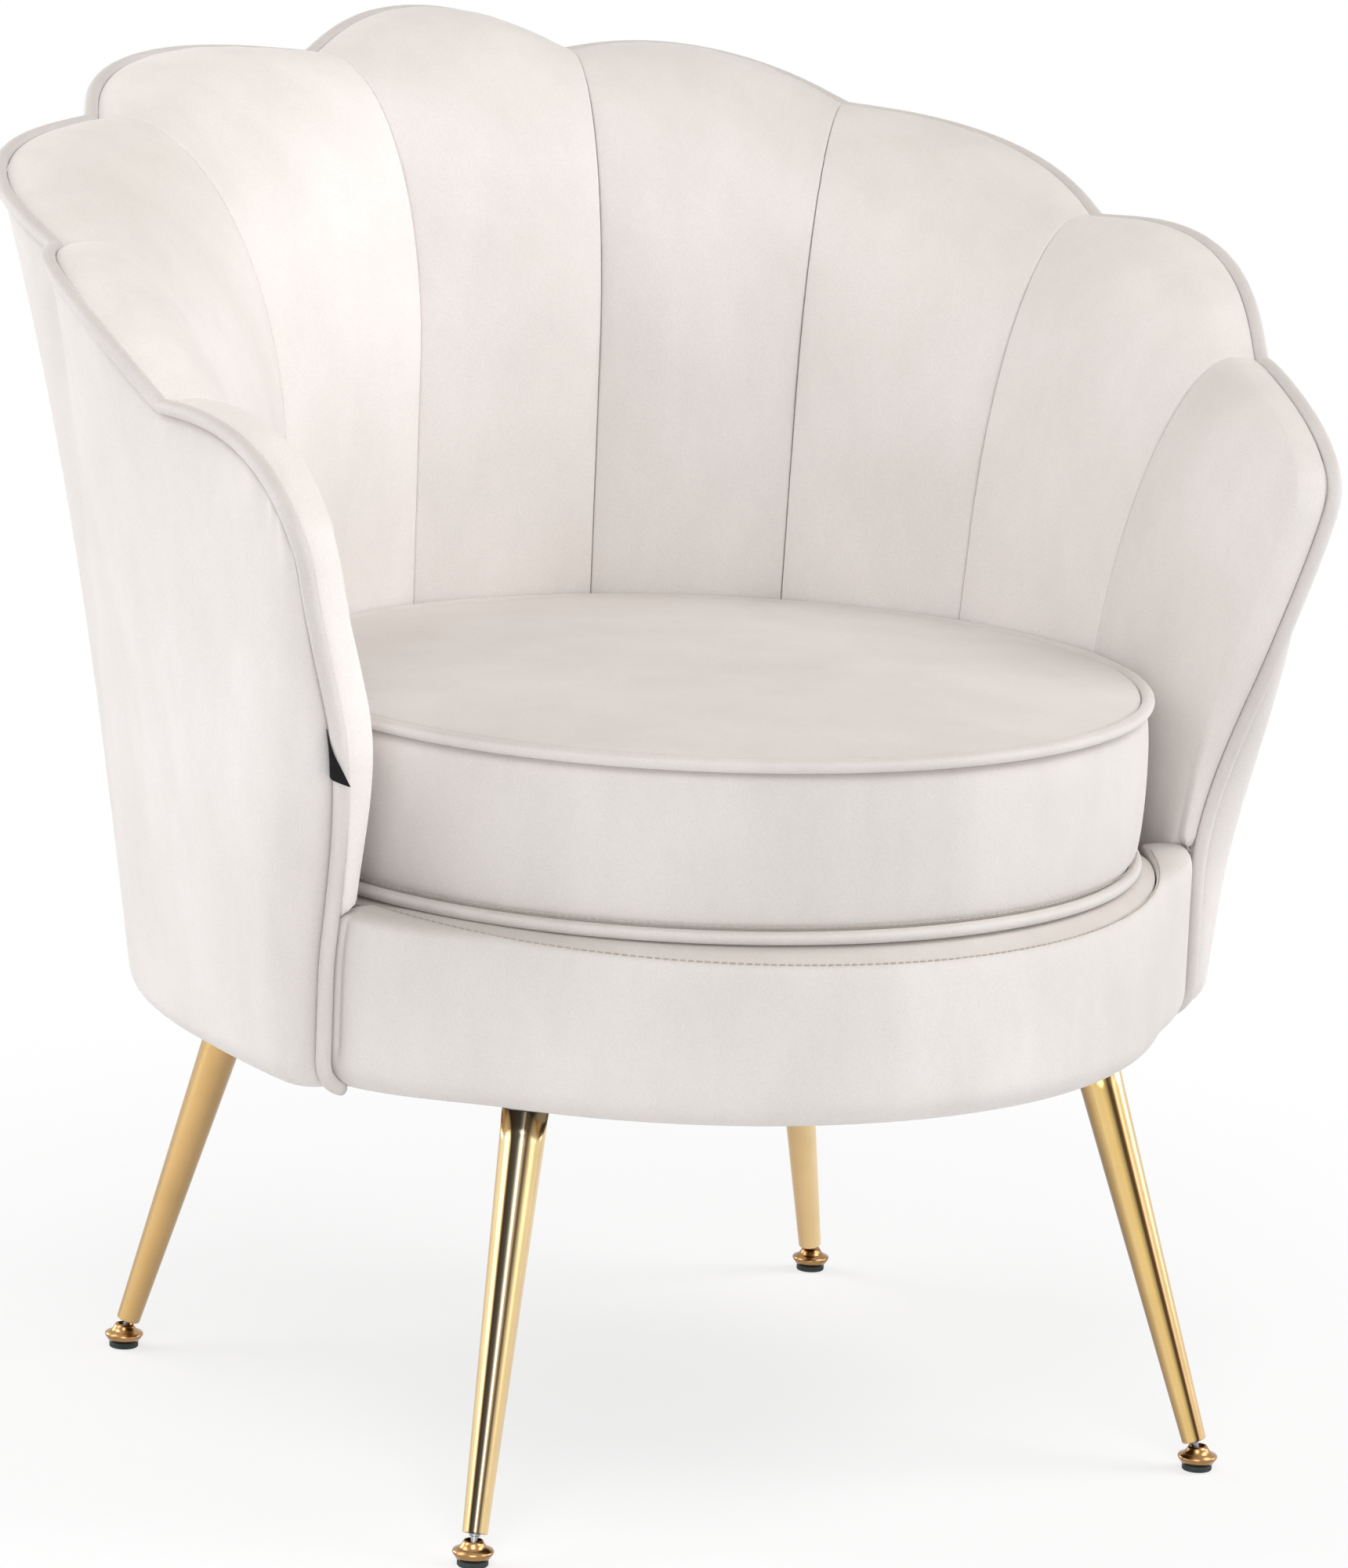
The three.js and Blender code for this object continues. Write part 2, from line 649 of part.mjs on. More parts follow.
function bandPlaces(share) {
  const arm = 1 - smoothstep(share, 0, bandFlareShare);
  const power = lerp(bandPower, bandSidePower, arm);
  const seam = bandSeamHeight(share);
  const wide = seam - lerp(bandShoulder, bandSideShoulder, arm);
  const shoulder = (inset, top) => Array.from({ length: shoulderSteps + 1 }, (_, i) => {
    const a = (i / shoulderSteps) * (Math.PI / 2);
    const height = wide + (top - wide) * Math.cos(a) ** (2 / power);
    const reach = bandWidest(share, height) - inset - bandSeamRadius;
    return [bandSeamRadius + reach * Math.sin(a) ** (2 / power), Math.max(height, wide)];
  });
  const foot = bandWidest(share, baseBottom + baseCorner);
  const flange = foot - baseCorner - flangeWidth;
  return [
    ...shoulder(0, seam),
    ...cornerPlaces(foot, 0, baseBottom),
    [flange, baseBottom],
    [flange, baseBottom + flangeThickness],
    ...cornerPlaces(foot, bandThickness, baseBottom + flangeThickness).reverse(),
    ...shoulder(bandThickness, seam - bandThickness * (2 / 3)).reverse(),
  ];
}

// Over the rounded lower edge the band lies inside the piping, and along it beside it.
function bandRing(share, side) {
  const angleOf = (height, radius) => {
    const beside = height > baseBottom + baseCorner ? 0 : radToDeg(pipingBed / radius);
    return side * lerp(armFrontAt(height) + beside, 180, share);
  };
  return shellRing(bandPlaces(share), angleOf, true);
}

const frameSteps = 48;

function frameOuter(angle) {
  const share = frontShare(angle);
  const behind = basePlan(angle) - panelThickness - 3 * seatGap;
  if (Math.abs(angle) < armFrontSeatAngle - 360 / frameSteps) return behind;
  return Math.min(behind, bandWidest(share, baseBottom + baseCorner) - bandThickness - frameClearance);
}

function frameRing(angle) {
  const outer = frameOuter(angle);
  const round = baseCorner - (Math.abs(angle) > armFrontSeatAngle ? bandThickness : panelThickness);
  return shellRing(
    [
      [frameInnerRadius, frameBottom],
      [outer - round, frameBottom],
      [outer, frameBottom + round],
      [outer, frameTop],
      [frameInnerRadius, frameTop],
    ],
    () => angle,
  );
}

function buildBase() {
  const angles = Array.from({ length: frameSteps }, (_, i) => (360 * i) / frameSteps);
  const rings = angles.map((angle) => frameRing(angle > 180 ? angle - 360 : angle));
  add("seat_frame", loft(rings, true), plywood);
  const band = [
    ...bandShares.map((share) => bandRing(share, 1)),
    ...bandShares.slice(0, -1).reverse().map((share) => bandRing(share, -1)),
  ];
  add("front_band", loft(band), velvet);
  const coverRadius = bandRadius - baseCorner - flangeWidth - dustCoverClearance;
  const cover = turned(
    [[0, baseBottom], [coverRadius, baseBottom], [coverRadius, baseBottom + dustCoverThickness],
      [0, baseBottom + dustCoverThickness]],
    cushionFacets,
  );
  add("dust_cover", cover, blackCloth);
}

// Back: one bent board, with ribs between it and the panel

const kinkShare = 0.8; // the board's bend is at most this far up it

// Heights of the board's face between two heights, with the bend over the cushion.
function boardHeights(low, top) {
  return [low, Math.min(cushionTop, lerp(low, top, kinkShare)), top];
}

function boardRing(petal, share) {
  const heights = boardHeights(boardFoot, edgeAt(petal, share).height - boardDrop);
  const face = (height) => leanRadius(petal, share, height) + padThickness + padClearance;
  const places = heights.map((height) => [face(height), height]);
  const rear = heights.map((height) => [face(height) + boardThickness, height]).reverse();
  return shellRing([...places, ...rear], (height) => angleAt(petal, share, height), true);
}

function ribPlaces(seam) {
  const edge = edgeAt(seam, 1);
  const behind = padThickness + padClearance + boardThickness + ribClearance;
  const top = edge.height - boardDrop - ribSetback;
  const rim = edge.height - rimDepth - 2 * ribSetback;
  const panel = (height) => panelInside(seam, 1, height) - ribPanelClearance;
  return [
    ...boardHeights(ribFoot, top).map((height) => [leanRadius(seam, 1, height) + behind, height]),
    [panel(rim) - ribSetback, rim],
    [panel(rim - ribSetback), rim - ribSetback],
    ...panelRises.slice(1, -1).map((rise) => panelHeight(seam, 1, rise))
      .filter((height) => height > ribFoot + ribSetback && height < rim - 2 * ribSetback)
      .map((height) => [panel(height), height]),
    [panel(ribFoot), ribFoot],
  ];
}

function ribGeometry(seam, side) {
  const places = ribPlaces(seam);
  return loft([-1, 1].map((half) => shellRing(places, (height, radius) =>
    side * seamAngle(seam, height) + half * radToDeg(ribThickness / 2 / radius))));
}

function buildBack() {
  add("inner_back_board", loft(ringsRound(boardArmShares, boardRing)), plywood);
  const seams = [0, 1, 2, armSeam];
  const order = [...[...seams].reverse().map((seam) => [seam, -1]), ...seams.map((seam) => [seam, 1])];
  order.forEach(([seam, side], i) => add("frame_rib_" + (i + 1), ribGeometry(seam, side), plywood));
}

// Seat: woven webbing, the padded deck and the loose cushion

function strapGeometry(offset, crossings, isOver) {
  const half = webbingWidth / 2 + webbingRamp;
  const end = Math.sqrt(webbingEnd ** 2 - offset ** 2);
  const low = frameTop + seatGap;
  const high = low + webbingThickness + seatGap;
  const line = [[-end, low]];
  crossings.forEach((at, i) => {
    const level = isOver(i) ? high : low;
    if (i === 0) line.push([at - 2 * half, low]);
    line.push([at - half, level], [at + half, level]);
    if (i === crossings.length - 1) line.push([at + 2 * half, low]);
  });
  line.push([end, low]);
  const outline = [
    ...line,
    ...line.map(([along, height]) => [along, height + webbingThickness]).reverse(),
  ].map(([along, height]) => new THREE.Vector2(along, height));
  return new THREE.ExtrudeGeometry(new THREE.Shape(outline), { depth: webbingWidth, bevelEnabled: false })
    .translate(0, 0, -webbingWidth / 2)
    .rotateX(Math.PI / 2)
    .translate(0, offset, 0);
}

function deckRing(rim, inset, height) {
  const angles = Array.from({ length: cushionFacets }, (_, i) => (360 * i) / cushionFacets);
  const points = angles.map((angle) => {
    const turned = angle > 180 ? angle - 360 : angle;
    const front = smoothstep(frontShare(turned), 0, 1 / cushionFacets);
    const seam = Math.min(bandSeamHeight(frontShare(turned)) - 1, deckRimHeight);
    const edge = lerp(deckRimRadius, bandSeamRadius - deckRimClearance, front);
    return polar(angle, rim ? edge - inset : inset, rim ? seam - height : height);
  });
  return { points, outline: points.map((point) => new THREE.Vector2(point.x, point.y)) };
}

function buildSeat() {
  const places = [-webbingPitch, 0, webbingPitch];
  places.forEach((offset, i) => {
    const across = strapGeometry(offset, places, (j) => (i + j) % 2 === 0);
    const along = strapGeometry(offset, places, (j) => (i + j) % 2 === 1).rotateZ(Math.PI / 2);
    add("webbing_across_" + (i + 1), across, webCloth);
    add("webbing_along_" + (i + 1), along, webCloth);
  });
  const deck = loft([
    deckRing(false, deckFaceRadius, webbingTop + seatGap),
    deckRing(true, deckRimRadius - deckFaceRadius, deckRimThickness * 3),
    deckRing(true, 0, deckRimThickness),
    deckRing(true, 0, 0),
    deckRing(false, deckFaceRadius, deckTop),
  ]);
  add("seat_deck", deck, foamCloth);
}

function cushionProfile() {
  const ring = cushionRadius - cushionPipingRadius;
  const seam = ring - cushionPipingRadius - seatGap;
  const side = cushionRadius - cushionSideInset;
  const clear = cushionLip + cushionPipingRadius + seatGap;
  const middle = cushionBottom + cushionHeight / 2;
  const half = [
    [seam, cushionLip],
    [seam, clear],
    [side, clear + seatGap],
    [side + cushionSideBulge * 0.75, cushionHeight / 4],
  ];
  return [
    [0, cushionBottom],
    [seam - cushionLip, cushionBottom],
    ...half.map(([radius, rise]) => [radius, cushionBottom + rise]),
    [side + cushionSideBulge, middle],
    ...[...half].reverse().map(([radius, rise]) => [radius, cushionTop - rise]),
    [seam - cushionLip, cushionTop + cushionLip],
    [seam * 0.6, cushionTop + cushionCrown * 0.85],
    [0, cushionTop + cushionCrown],
  ];
}

function buildCushion() {
  const cushion = new THREE.Group();
  chair.add(cushion);
  add("seat_cushion", turned(cushionProfile(), cushionFacets), velvet, cushion);
  const ring = cushionRadius - cushionPipingRadius;
  for (const [name, height] of [
    ["cushion_piping_top", cushionTop - cushionLip],
    ["cushion_piping_bottom", cushionBottom + cushionLip],
  ]) {
    const piping = new THREE.TorusGeometry(ring, cushionPipingRadius, pipingSides, cushionFacets);
    add(name, piping.translate(0, 0, height), velvet, cushion);
  }
}

// Tag: folded from the arm's seam over the piping

function buildTag() {
  const places = [
    [tagOverhang, tagFoot + tagHeight],
    [tagOverhang - tagTopWidth, tagFoot + tagHeight],
    [tagOverhang - tagWidth, tagFoot],
    [tagOverhang, tagFoot + tagTopWidth],
  ].map(([out, height]) => [outerRadius(armIndex, 1, height) + out, height]);
  const rings = [pipingRadius + seatGap, pipingRadius + seatGap + tagThickness].map((forward) =>
    shellRing(places, (height, radius) => -armFrontAt(height) - radToDeg(forward / radius)));
  add("side_tag", loft(rings), blackCloth);
}

// Legs: each stands on a foot whose socket holds the ball of a threaded stem

function socketPlaces() {
  const socket = ballRadius + ballClearance;
  const from = Math.acos(mouthRise / socket);
  return Array.from({ length: 5 }, (_, i) => {
    const a = lerp(from, Math.PI, i / 4);
    return [i === 4 ? 0 : socket * Math.sin(a), ballHeight + socket * Math.cos(a)];
  });
}

function footProfile() {
  const low = padHeight + seatGap;
  const top = low + footHeight;
  return [
    [0, low],
    [footUndersideDiameter / 2, low],
    [footDiameter / 2, low + footRimHeight],
    [footDiameter / 2, low + footRimHeight + footRimBand],
    [footWaist.diameter / 2, low + footWaist.height],
    [footTopDiameter / 2, top],
    [socketTopRadius, top],
    ...socketPlaces(),
  ];
}

function stemProfile() {
  const neck = stemNeckDiameter / 2;
  const turn = Math.asin(neck / ballRadius);
  const ball = Array.from({ length: 6 }, (_, i) => {
    const a = lerp(Math.PI, turn, i / 5);
    return [i === 0 ? 0 : ballRadius * Math.sin(a), ballRadius * Math.cos(a)];
  });
  return [
    ...ball,
    [neck, neckShoulder - seatGap],
    [stemDiameter / 2, neckShoulder],
    [stemDiameter / 2, stemLength],
    [0, stemLength],
  ];
}

function legBody(length) {
  const radiusAt = (along) => lerp(legEndDiameter, legTopDiameter, (along - neckLength) / (length - neckLength)) / 2;
  const end = length + overrun * 2;
  const wall = legWall;
  return turned(
    [
      [radiusAt(neckLength) - wall, neckLength],
      [radiusAt(neckLength), neckLength],
      [radiusAt(end), end],
      [radiusAt(end) - wall, end],
      [radiusAt(neckLength) - wall, neckLength],
    ],
    turnedFacets,
  );
}

function plateGeometry() {
  const shape = new THREE.Shape().absarc(0, 0, plateDiameter / 2, 0, 2 * Math.PI);
  for (let i = 0; i < plateHoleCount; i++) {
    const a = (2 * Math.PI * (i + 0.5)) / plateHoleCount;
    const [x, y] = [(plateHoleCircle / 2) * Math.cos(a), (plateHoleCircle / 2) * Math.sin(a)];
    shape.holes.push(new THREE.Path().absarc(x, y, plateHoleDiameter / 2, 0, 2 * Math.PI, true));
  }
  return new THREE.ExtrudeGeometry(shape, { depth: plateThickness, bevelEnabled: false, curveSegments: 6 });
}

function buildLeg(name, top, foot) {
  const from = new THREE.Vector3(foot.x, foot.y, ballHeight);
  const axis = new THREE.Vector3(top.x, top.y, legCut).sub(from);
  const length = axis.length();
  const turn = new THREE.Quaternion().setFromUnitVectors(new THREE.Vector3(0, 0, 1), axis.normalize());
  const place = (geometry) => geometry.applyQuaternion(turn).translate(from.x, from.y, from.z);

  const body = solidOf(place(legBody(length))).trimByPlane([0, 0, -1], -legCut);
  add("leg_" + name, geometryFrom(body), gold);

  const inward = new THREE.Vector2(-top.x, -top.y).setLength(plateInset);
  const plate = plateGeometry().translate(top.x + inward.x, top.y + inward.y, plateBottom);
  add("leg_plate_" + name, plate, steel);

  const inner = legEndDiameter / 2 - legWall - seatGap;
  const bore = stemDiameter / 2 + threadClearance;
  const [low, high] = [neckLength + legLipHeight, neckLength + legLipHeight + bushLength];
  const bush = turned([[bore, low], [inner, low], [inner, high], [bore, high], [bore, low]], footFacets);
  add("leg_bush_" + name, place(bush), steel);

  add("foot_stem_" + name, place(turned(stemProfile(), footFacets)), steel);
  add("foot_base_" + name, turned(footProfile(), footFacets).translate(foot.x, foot.y, 0), brass);
  const pad = turned([[0, 0], [padDiameter / 2, 0], [padDiameter / 2, padHeight], [0, padHeight]], footFacets);
  add("foot_pad_" + name, pad.translate(foot.x, foot.y, 0), rubber);
}

buildPetals();
buildPanel();
buildPiping();
buildBase();
buildBack();
buildSeat();
buildCushion();
buildTag();
for (const [name, side, top, foot] of [
  ["front_left", -1, frontLegTop, frontFoot],
  ["front_right", 1, frontLegTop, frontFoot],
  ["rear_left", -1, rearLegTop, rearFoot],
  ["rear_right", 1, rearLegTop, rearFoot],
])
  buildLeg(name, { x: side * top.x, y: top.y }, { x: side * foot.x, y: foot.y });

// The frame's origin: the middle of the chair's footprint, on the floor
const box = new THREE.Box3().setFromObject(chair);
chair.position.set(-(box.min.x + box.max.x) / 2, -(box.min.y + box.max.y) / 2, -box.min.z);

export default chair;
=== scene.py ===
"""Looks of the scallop back chair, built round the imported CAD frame.

The shapes are written in millimetres round the middle of the seat, with angles in
degrees from the back towards +x, and placed in the frame by place().
"""

from math import copysign, cos, degrees, exp, hypot, pi, radians, sin

import bmesh
import bpy
import numpy as np
from mathutils import Matrix, Vector, noise


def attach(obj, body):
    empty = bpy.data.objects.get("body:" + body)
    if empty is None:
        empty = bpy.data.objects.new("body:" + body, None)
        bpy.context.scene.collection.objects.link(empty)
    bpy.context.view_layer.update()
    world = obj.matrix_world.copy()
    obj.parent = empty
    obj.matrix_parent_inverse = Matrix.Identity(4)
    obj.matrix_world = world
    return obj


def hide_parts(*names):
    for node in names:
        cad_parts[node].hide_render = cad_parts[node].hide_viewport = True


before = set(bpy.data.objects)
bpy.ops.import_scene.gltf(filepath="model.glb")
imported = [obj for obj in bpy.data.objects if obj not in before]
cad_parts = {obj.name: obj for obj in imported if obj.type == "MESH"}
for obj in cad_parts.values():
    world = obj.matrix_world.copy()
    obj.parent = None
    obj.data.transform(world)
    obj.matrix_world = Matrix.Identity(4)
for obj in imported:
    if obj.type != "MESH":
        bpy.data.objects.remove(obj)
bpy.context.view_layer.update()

# Dimensions, mm
SEAT_SHIFT = -65.20935  # from the seat's middle to the frame's origin, along y

BASE_BOTTOM, BASE_CORNER = 239.0, 18.0
BASE_PLAN = (299.5, 288.0, 496.0)  # half width, depth behind and in front
EDGE_PLAN = (350.7, 361.4, 420.0)
PLAN_POWER = 2.74
FLANGE_END = 30.0  # from the base's outline to the end of the cloth that is wrapped under it
WRAP = 0.7  # thickness of that cloth
VALLEY, ARM_DROP = 750.0, 139.5
SCALLOP_POWER = 1.2
SCALLOP_RISES = (19.04, 9.44, 5.92, 21.28)  # from the middle petal outwards
SCALLOP_REACHES = (31.08, 33.6, 26.32, 21.56)
CUSHION_BOTTOM, CUSHION_TOP, CUSHION_RADIUS = 338.0, 436.0, 251.0
WELT_RADIUS = 3.7  # of the cushion's pipings
SEAM_SEAT_RADIUS = 255.7
PIPING_RADIUS, PIPING_BED = 4.2, 5.8
PANEL_THICKNESS = 7.0
PAD_THICKNESS, PAD_CLEARANCE = 25.0, 2.2
NOSE_LOW, NOSE_HIGH = 18.0, 36.0  # thickness of the arm's front
SIDE_SLOPE = 0.088  # how the seams of the sides lean outward
ARM = 4
ARM_CORNER_POWER = 1.9
ARM_FRONT_SEAT, ARM_FRONT_EDGE = 107.7, 113.1  # angles of the arm's front
ARM_FRONT_FOOT_RADIUS, ARM_SWEEP_LOW = 291.5, 321.0
ARM_FRONT_ROUND, ARM_HOLLOW = 14, 10.0
PANEL_SETBACK = 0.1
BAND_SEAM, BAND_TOP, BAND_SIDE_RISE = 257.5, 329.0, 10.0


def lerp(a, b, t):
    return a + (b - a) * t


def clamp(x, low=0.0, high=1.0):
    return max(low, min(high, x))


def smooth(x, low, high):
    t = clamp((x - low) / (high - low))
    return t * t * (3 - 2 * t)


def spread(first, last, count):
    return [lerp(first, last, i / (count - 1)) for i in range(count)]


def quarter_turns(count):
    """(share, sine, cosine) of even steps from a quarter turn down to none."""
    shares = spread(1.0, 0.0, count)
    return [(t, sin(t * pi / 2), cos(t * pi / 2)) for t in shares]


# The shell's form
def plan_radius(angle, half_width, back, front):
    s, c = abs(sin(radians(angle))), cos(radians(angle))
    if c >= 0:
        total = (s / half_width) ** PLAN_POWER + (c / back) ** PLAN_POWER
        return total ** (-1 / PLAN_POWER)
    return 1 / hypot(s / half_width, c / front)


def valley_at(angle):
    return VALLEY - ARM_DROP * (1 - cos(radians(angle)))


def seam_angle(seam, height):
    at_seat, at_edge = 13.4 + 25.7 * seam, 13.5 + 26.5 * seam
    climb = (height - CUSHION_TOP) / (valley_at(at_edge) - CUSHION_TOP)
    return lerp(at_seat, at_edge, clamp(climb))


ARM_EDGE = valley_at(seam_angle(3, VALLEY))
ARM_CORNER = lerp(CUSHION_TOP, ARM_EDGE, 0.585)


def arm_front_at(height):
    return lerp(ARM_FRONT_SEAT, ARM_FRONT_EDGE, smooth(height, 300, 460))


def angle_at(petal, share, height):
    n = abs(petal)
    if n == 0:
        return seam_angle(0, height) * (2 * share - 1)
    inner = seam_angle(n - 1, height)
    outer = arm_front_at(height) if n == ARM else seam_angle(n, height)
    return copysign(lerp(inner, outer, share), petal)


def arch(share, power):
    """0 at both ends of a span and 1 in its middle."""
    return max(4 * share * (1 - share), 0) ** power


def edge_at(petal, share):
    """Height and radius of the scalloped edge."""
    n = abs(petal)
    if n == ARM:
        s = clamp(share)
        up = max(1 - s ** ARM_CORNER_POWER, 0) ** (1 / ARM_CORNER_POWER)
        height = lerp(ARM_CORNER, ARM_EDGE, up)
        return height, outer_radius(petal, s, height)
    angle, bump = angle_at(petal, share, VALLEY), arch(share, SCALLOP_POWER)
    radius = plan_radius(angle, *EDGE_PLAN) + SCALLOP_REACHES[n] * bump
    return valley_at(angle) + SCALLOP_RISES[n] * bump, radius


def outer_radius(petal, share, height):
    """Radius of the outer panel's face."""
    angle = angle_at(petal, share, height)
    foot, at_edge = plan_radius(angle, *BASE_PLAN), plan_radius(angle, *EDGE_PLAN)
    if abs(petal) == ARM:
        climb = (height - BASE_BOTTOM) / (ARM_EDGE - BASE_BOTTOM)
        front = lerp(ARM_FRONT_FOOT_RADIUS, at_edge, smooth(height, ARM_SWEEP_LOW, ARM_EDGE))
        hollow = ARM_HOLLOW * arch(clamp(share), SCALLOP_POWER) * max(climb, 0) ** 2.5
        return lerp(lerp(foot, at_edge, climb), front, clamp(share) ** ARM_FRONT_ROUND) - hollow
    edge_height, edge_radius = edge_at(petal, share)
    climb = clamp((height - BASE_BOTTOM) / (edge_height - BASE_BOTTOM))
    return lerp(foot, at_edge, climb) + (edge_radius - at_edge) * climb ** 2.5


def nose_thickness(height):
    return lerp(NOSE_LOW, NOSE_HIGH, smooth(height, 342, 460))


def lean_radius(petal, share, height):
    """Radius of the petals' face at the seams, below the outward roll."""
    slope = SIDE_SLOPE * smooth(abs(angle_at(petal, share, height)), 8, 42)
    lean = SEAM_SEAT_RADIUS + slope * max(height - CUSHION_TOP, 0)
    if abs(petal) != ARM:
        return lean
    nose = outer_radius(petal, 1, height) - nose_thickness(height)
    return lerp(lean, max(nose, lean), clamp(share) ** 1.6)


def inside_panel(petal, share, height):
    share = clamp(share)
    ahead = min(share / (1 - PANEL_SETBACK), 1) if abs(petal) == ARM else share
    panel = min(outer_radius(petal, share, height), outer_radius(petal, ahead, height))
    return panel - PANEL_THICKNESS - PAD_CLEARANCE


def rear_at(petal, share, height, below):
    """Radius of a petal's hidden rear, at a distance below its edge."""
    panel = inside_panel(petal, share, height)
    board = min(lean_radius(petal, share, height) + PAD_THICKNESS, panel)
    return lerp(panel, board, smooth(below, 30, 96))


def polar(angle, radius, height):
    a = radians(angle)
    return radius * sin(a), radius * cos(a), height


def spun(places, angle_of):
    """The points of (radius, height) places, each at its own angle."""
    return [polar(angle_of(radius, height), radius, height) for radius, height in places]


def corner_places(plan, inset, low):
    """(radius, height) places round the base's corner and on to the end of the wrapped cloth."""
    turn = BASE_CORNER - inset
    places = [
        (plan - BASE_CORNER + turn * cosine, low + turn - turn * sine)
        for _, sine, cosine in quarter_turns(9)[::-1]
    ]
    return places + [(plan - FLANGE_END, low)]


def edge_spot(petal, share):
    height, radius = edge_at(petal, share)
    return polar(angle_at(petal, share, height), radius, height)


# Meshes
def place(points):
    """Millimetres round the seat's middle to metres in the frame."""
    return (np.asarray(points, float) + (0, SEAT_SHIFT, 0)) / 1000


def ways_along(points, axis=0):
    """How far each point lies from the first one, along a line or a grid's axis."""
    steps = np.diff(points, axis=axis, prepend=np.take(points, [0], axis=axis))
    return np.linalg.norm(steps, axis=-1).cumsum(axis=axis)


def ripple(x, y, z):
    return noise.noise(Vector((x, y, z)))


def ripples(kinds, along, down, seed=0):
    """A sum of ripples, each given by its lengths along and down, its share and its seed."""
    return sum(share * ripple(along / length, down / fall, seed + own)
               for length, fall, share, own in kinds)


def new_mesh(name, points, faces):
    mesh = bpy.data.meshes.new(name)
    mesh.from_pydata(np.asarray(points).tolist(), [], faces)
    mesh.update()
    return mesh


def new_object(name, data):
    made = bpy.data.objects.new(name, data)
    bpy.context.scene.collection.objects.link(made)
    return made


def mesh_object(name, points, faces, material, body="chair"):
    mesh = new_mesh(name, place(points), faces)
    work = bmesh.new()
    work.from_mesh(mesh)
    bmesh.ops.recalc_face_normals(work, faces=work.faces)
    work.to_mesh(mesh)
    work.free()
    mesh.polygons.foreach_set("use_smooth", [True] * len(mesh.polygons))
    mesh.materials.append(material)
    piece = new_object(name, mesh)
    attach(piece, body)
    return piece


def grid_faces(rows, columns, first=0, wrap=False, flip=False):
    faces = []
    for i in range(rows if wrap else rows - 1):
        for j in range(columns - 1):
            a, b = first + i * columns + j, first + ((i + 1) % rows) * columns + j
            quad = (a, b, b + 1, a + 1)
            faces.append(quad[::-1] if flip else quad)
    return faces


def closed_sheet(name, lines, material, wrap=False):
    """A thin body of pairs of a front and a back line, joined along its borders."""
    front, back = ([pair[k] for pair in lines] for k in (0, 1))
    rows, columns = len(front), len(front[0])
    count = rows * columns
    faces = grid_faces(rows, columns, 0, wrap) + grid_faces(rows, columns, count, wrap, True)
    borders = [] if wrap else [range(columns), range(count - columns, count)]
    for j in (0, columns - 1):
        borders.append(list(range(j, count, columns)) + [j] * wrap)
    for line in borders:
        faces += [(a, b, b + count, a + count) for a, b in zip(line, line[1:])]
    return mesh_object(name, [p for row in front + back for p in row], faces, material)


def lathe(name, profile, material, body, segments, turn=None):
    """A turned solid: its profile runs from axis to axis, or round a wall and back."""
    points, faces, rings = [], [], []
    for radius, height in profile:
        if radius < 1e-6:
            rings.append([len(points)])
            points.append((0, 0, height))
            continue
        rings.append([len(points) + i for i in range(segments)])
        points += [polar(360 * i / segments, radius, height) for i in range(segments)]
    for low, high in zip(rings, rings[1:]):
        for i in range(segments):
            k = (i + 1) % segments
            quad = [ring[n % len(ring)] for ring, n in ((low, i), (low, k), (high, k), (high, i))]
            faces.append(tuple(dict.fromkeys(quad)))
    if turn is not None:
        points = [tuple(turn @ Vector(p)) for p in points]
    return mesh_object(name, points, faces, material, body)


def ring_faces(first, rings, sides, closed=False):
    """Faces of a bar whose rings of points follow each other, with caps unless it is closed."""
    faces, count = [], rings * sides
    for a in range(count if closed else count - sides):
        b = a + 1 if (a + 1) % sides else a + 1 - sides
        faces.append(tuple(first + k % count for k in (a, b, b + sides, a + sides)))
    if not closed:
        faces += [tuple(range(k, k + sides)) for k in (first, first + count - sides)]
    return faces


def tube(name, path, radius, material, body="chair", sides=14, closed=False):
    """A round bar along a path of points, its section carried on without twist."""
    path = [Vector(p) for p in path]
    points, count = [], len(path)
    side = Vector((0.31, 0.2, 0.93))
    for i, p in enumerate(path):
        before = path[i - 1] if closed or i else p
        after = path[(i + 1) % count] if closed or i < count - 1 else p
        along = (after - before).normalized()
        side = (side - side.dot(along) * along).normalized()
        over = side.cross(along)
        for k in range(sides):
            a = 2 * pi * k / sides
            points.append(tuple(p + radius * (cos(a) * side + sin(a) * over)))
    return mesh_object(name, points, ring_faces(0, count, sides, closed), material, body)


def subdivide(piece):
    modifier = piece.modifiers.new("Subdivision", "SUBSURF")
    modifier.levels = modifier.render_levels = 1


# Materials
WHITE = (1, 1, 1, 1)


def srgb(r, g, b):
    def linear(c):
        return ((c / 255 + 0.055) / 1.055) ** 2.4 if c > 10 else c / 255 / 12.92

    return linear(r), linear(g), linear(b), 1


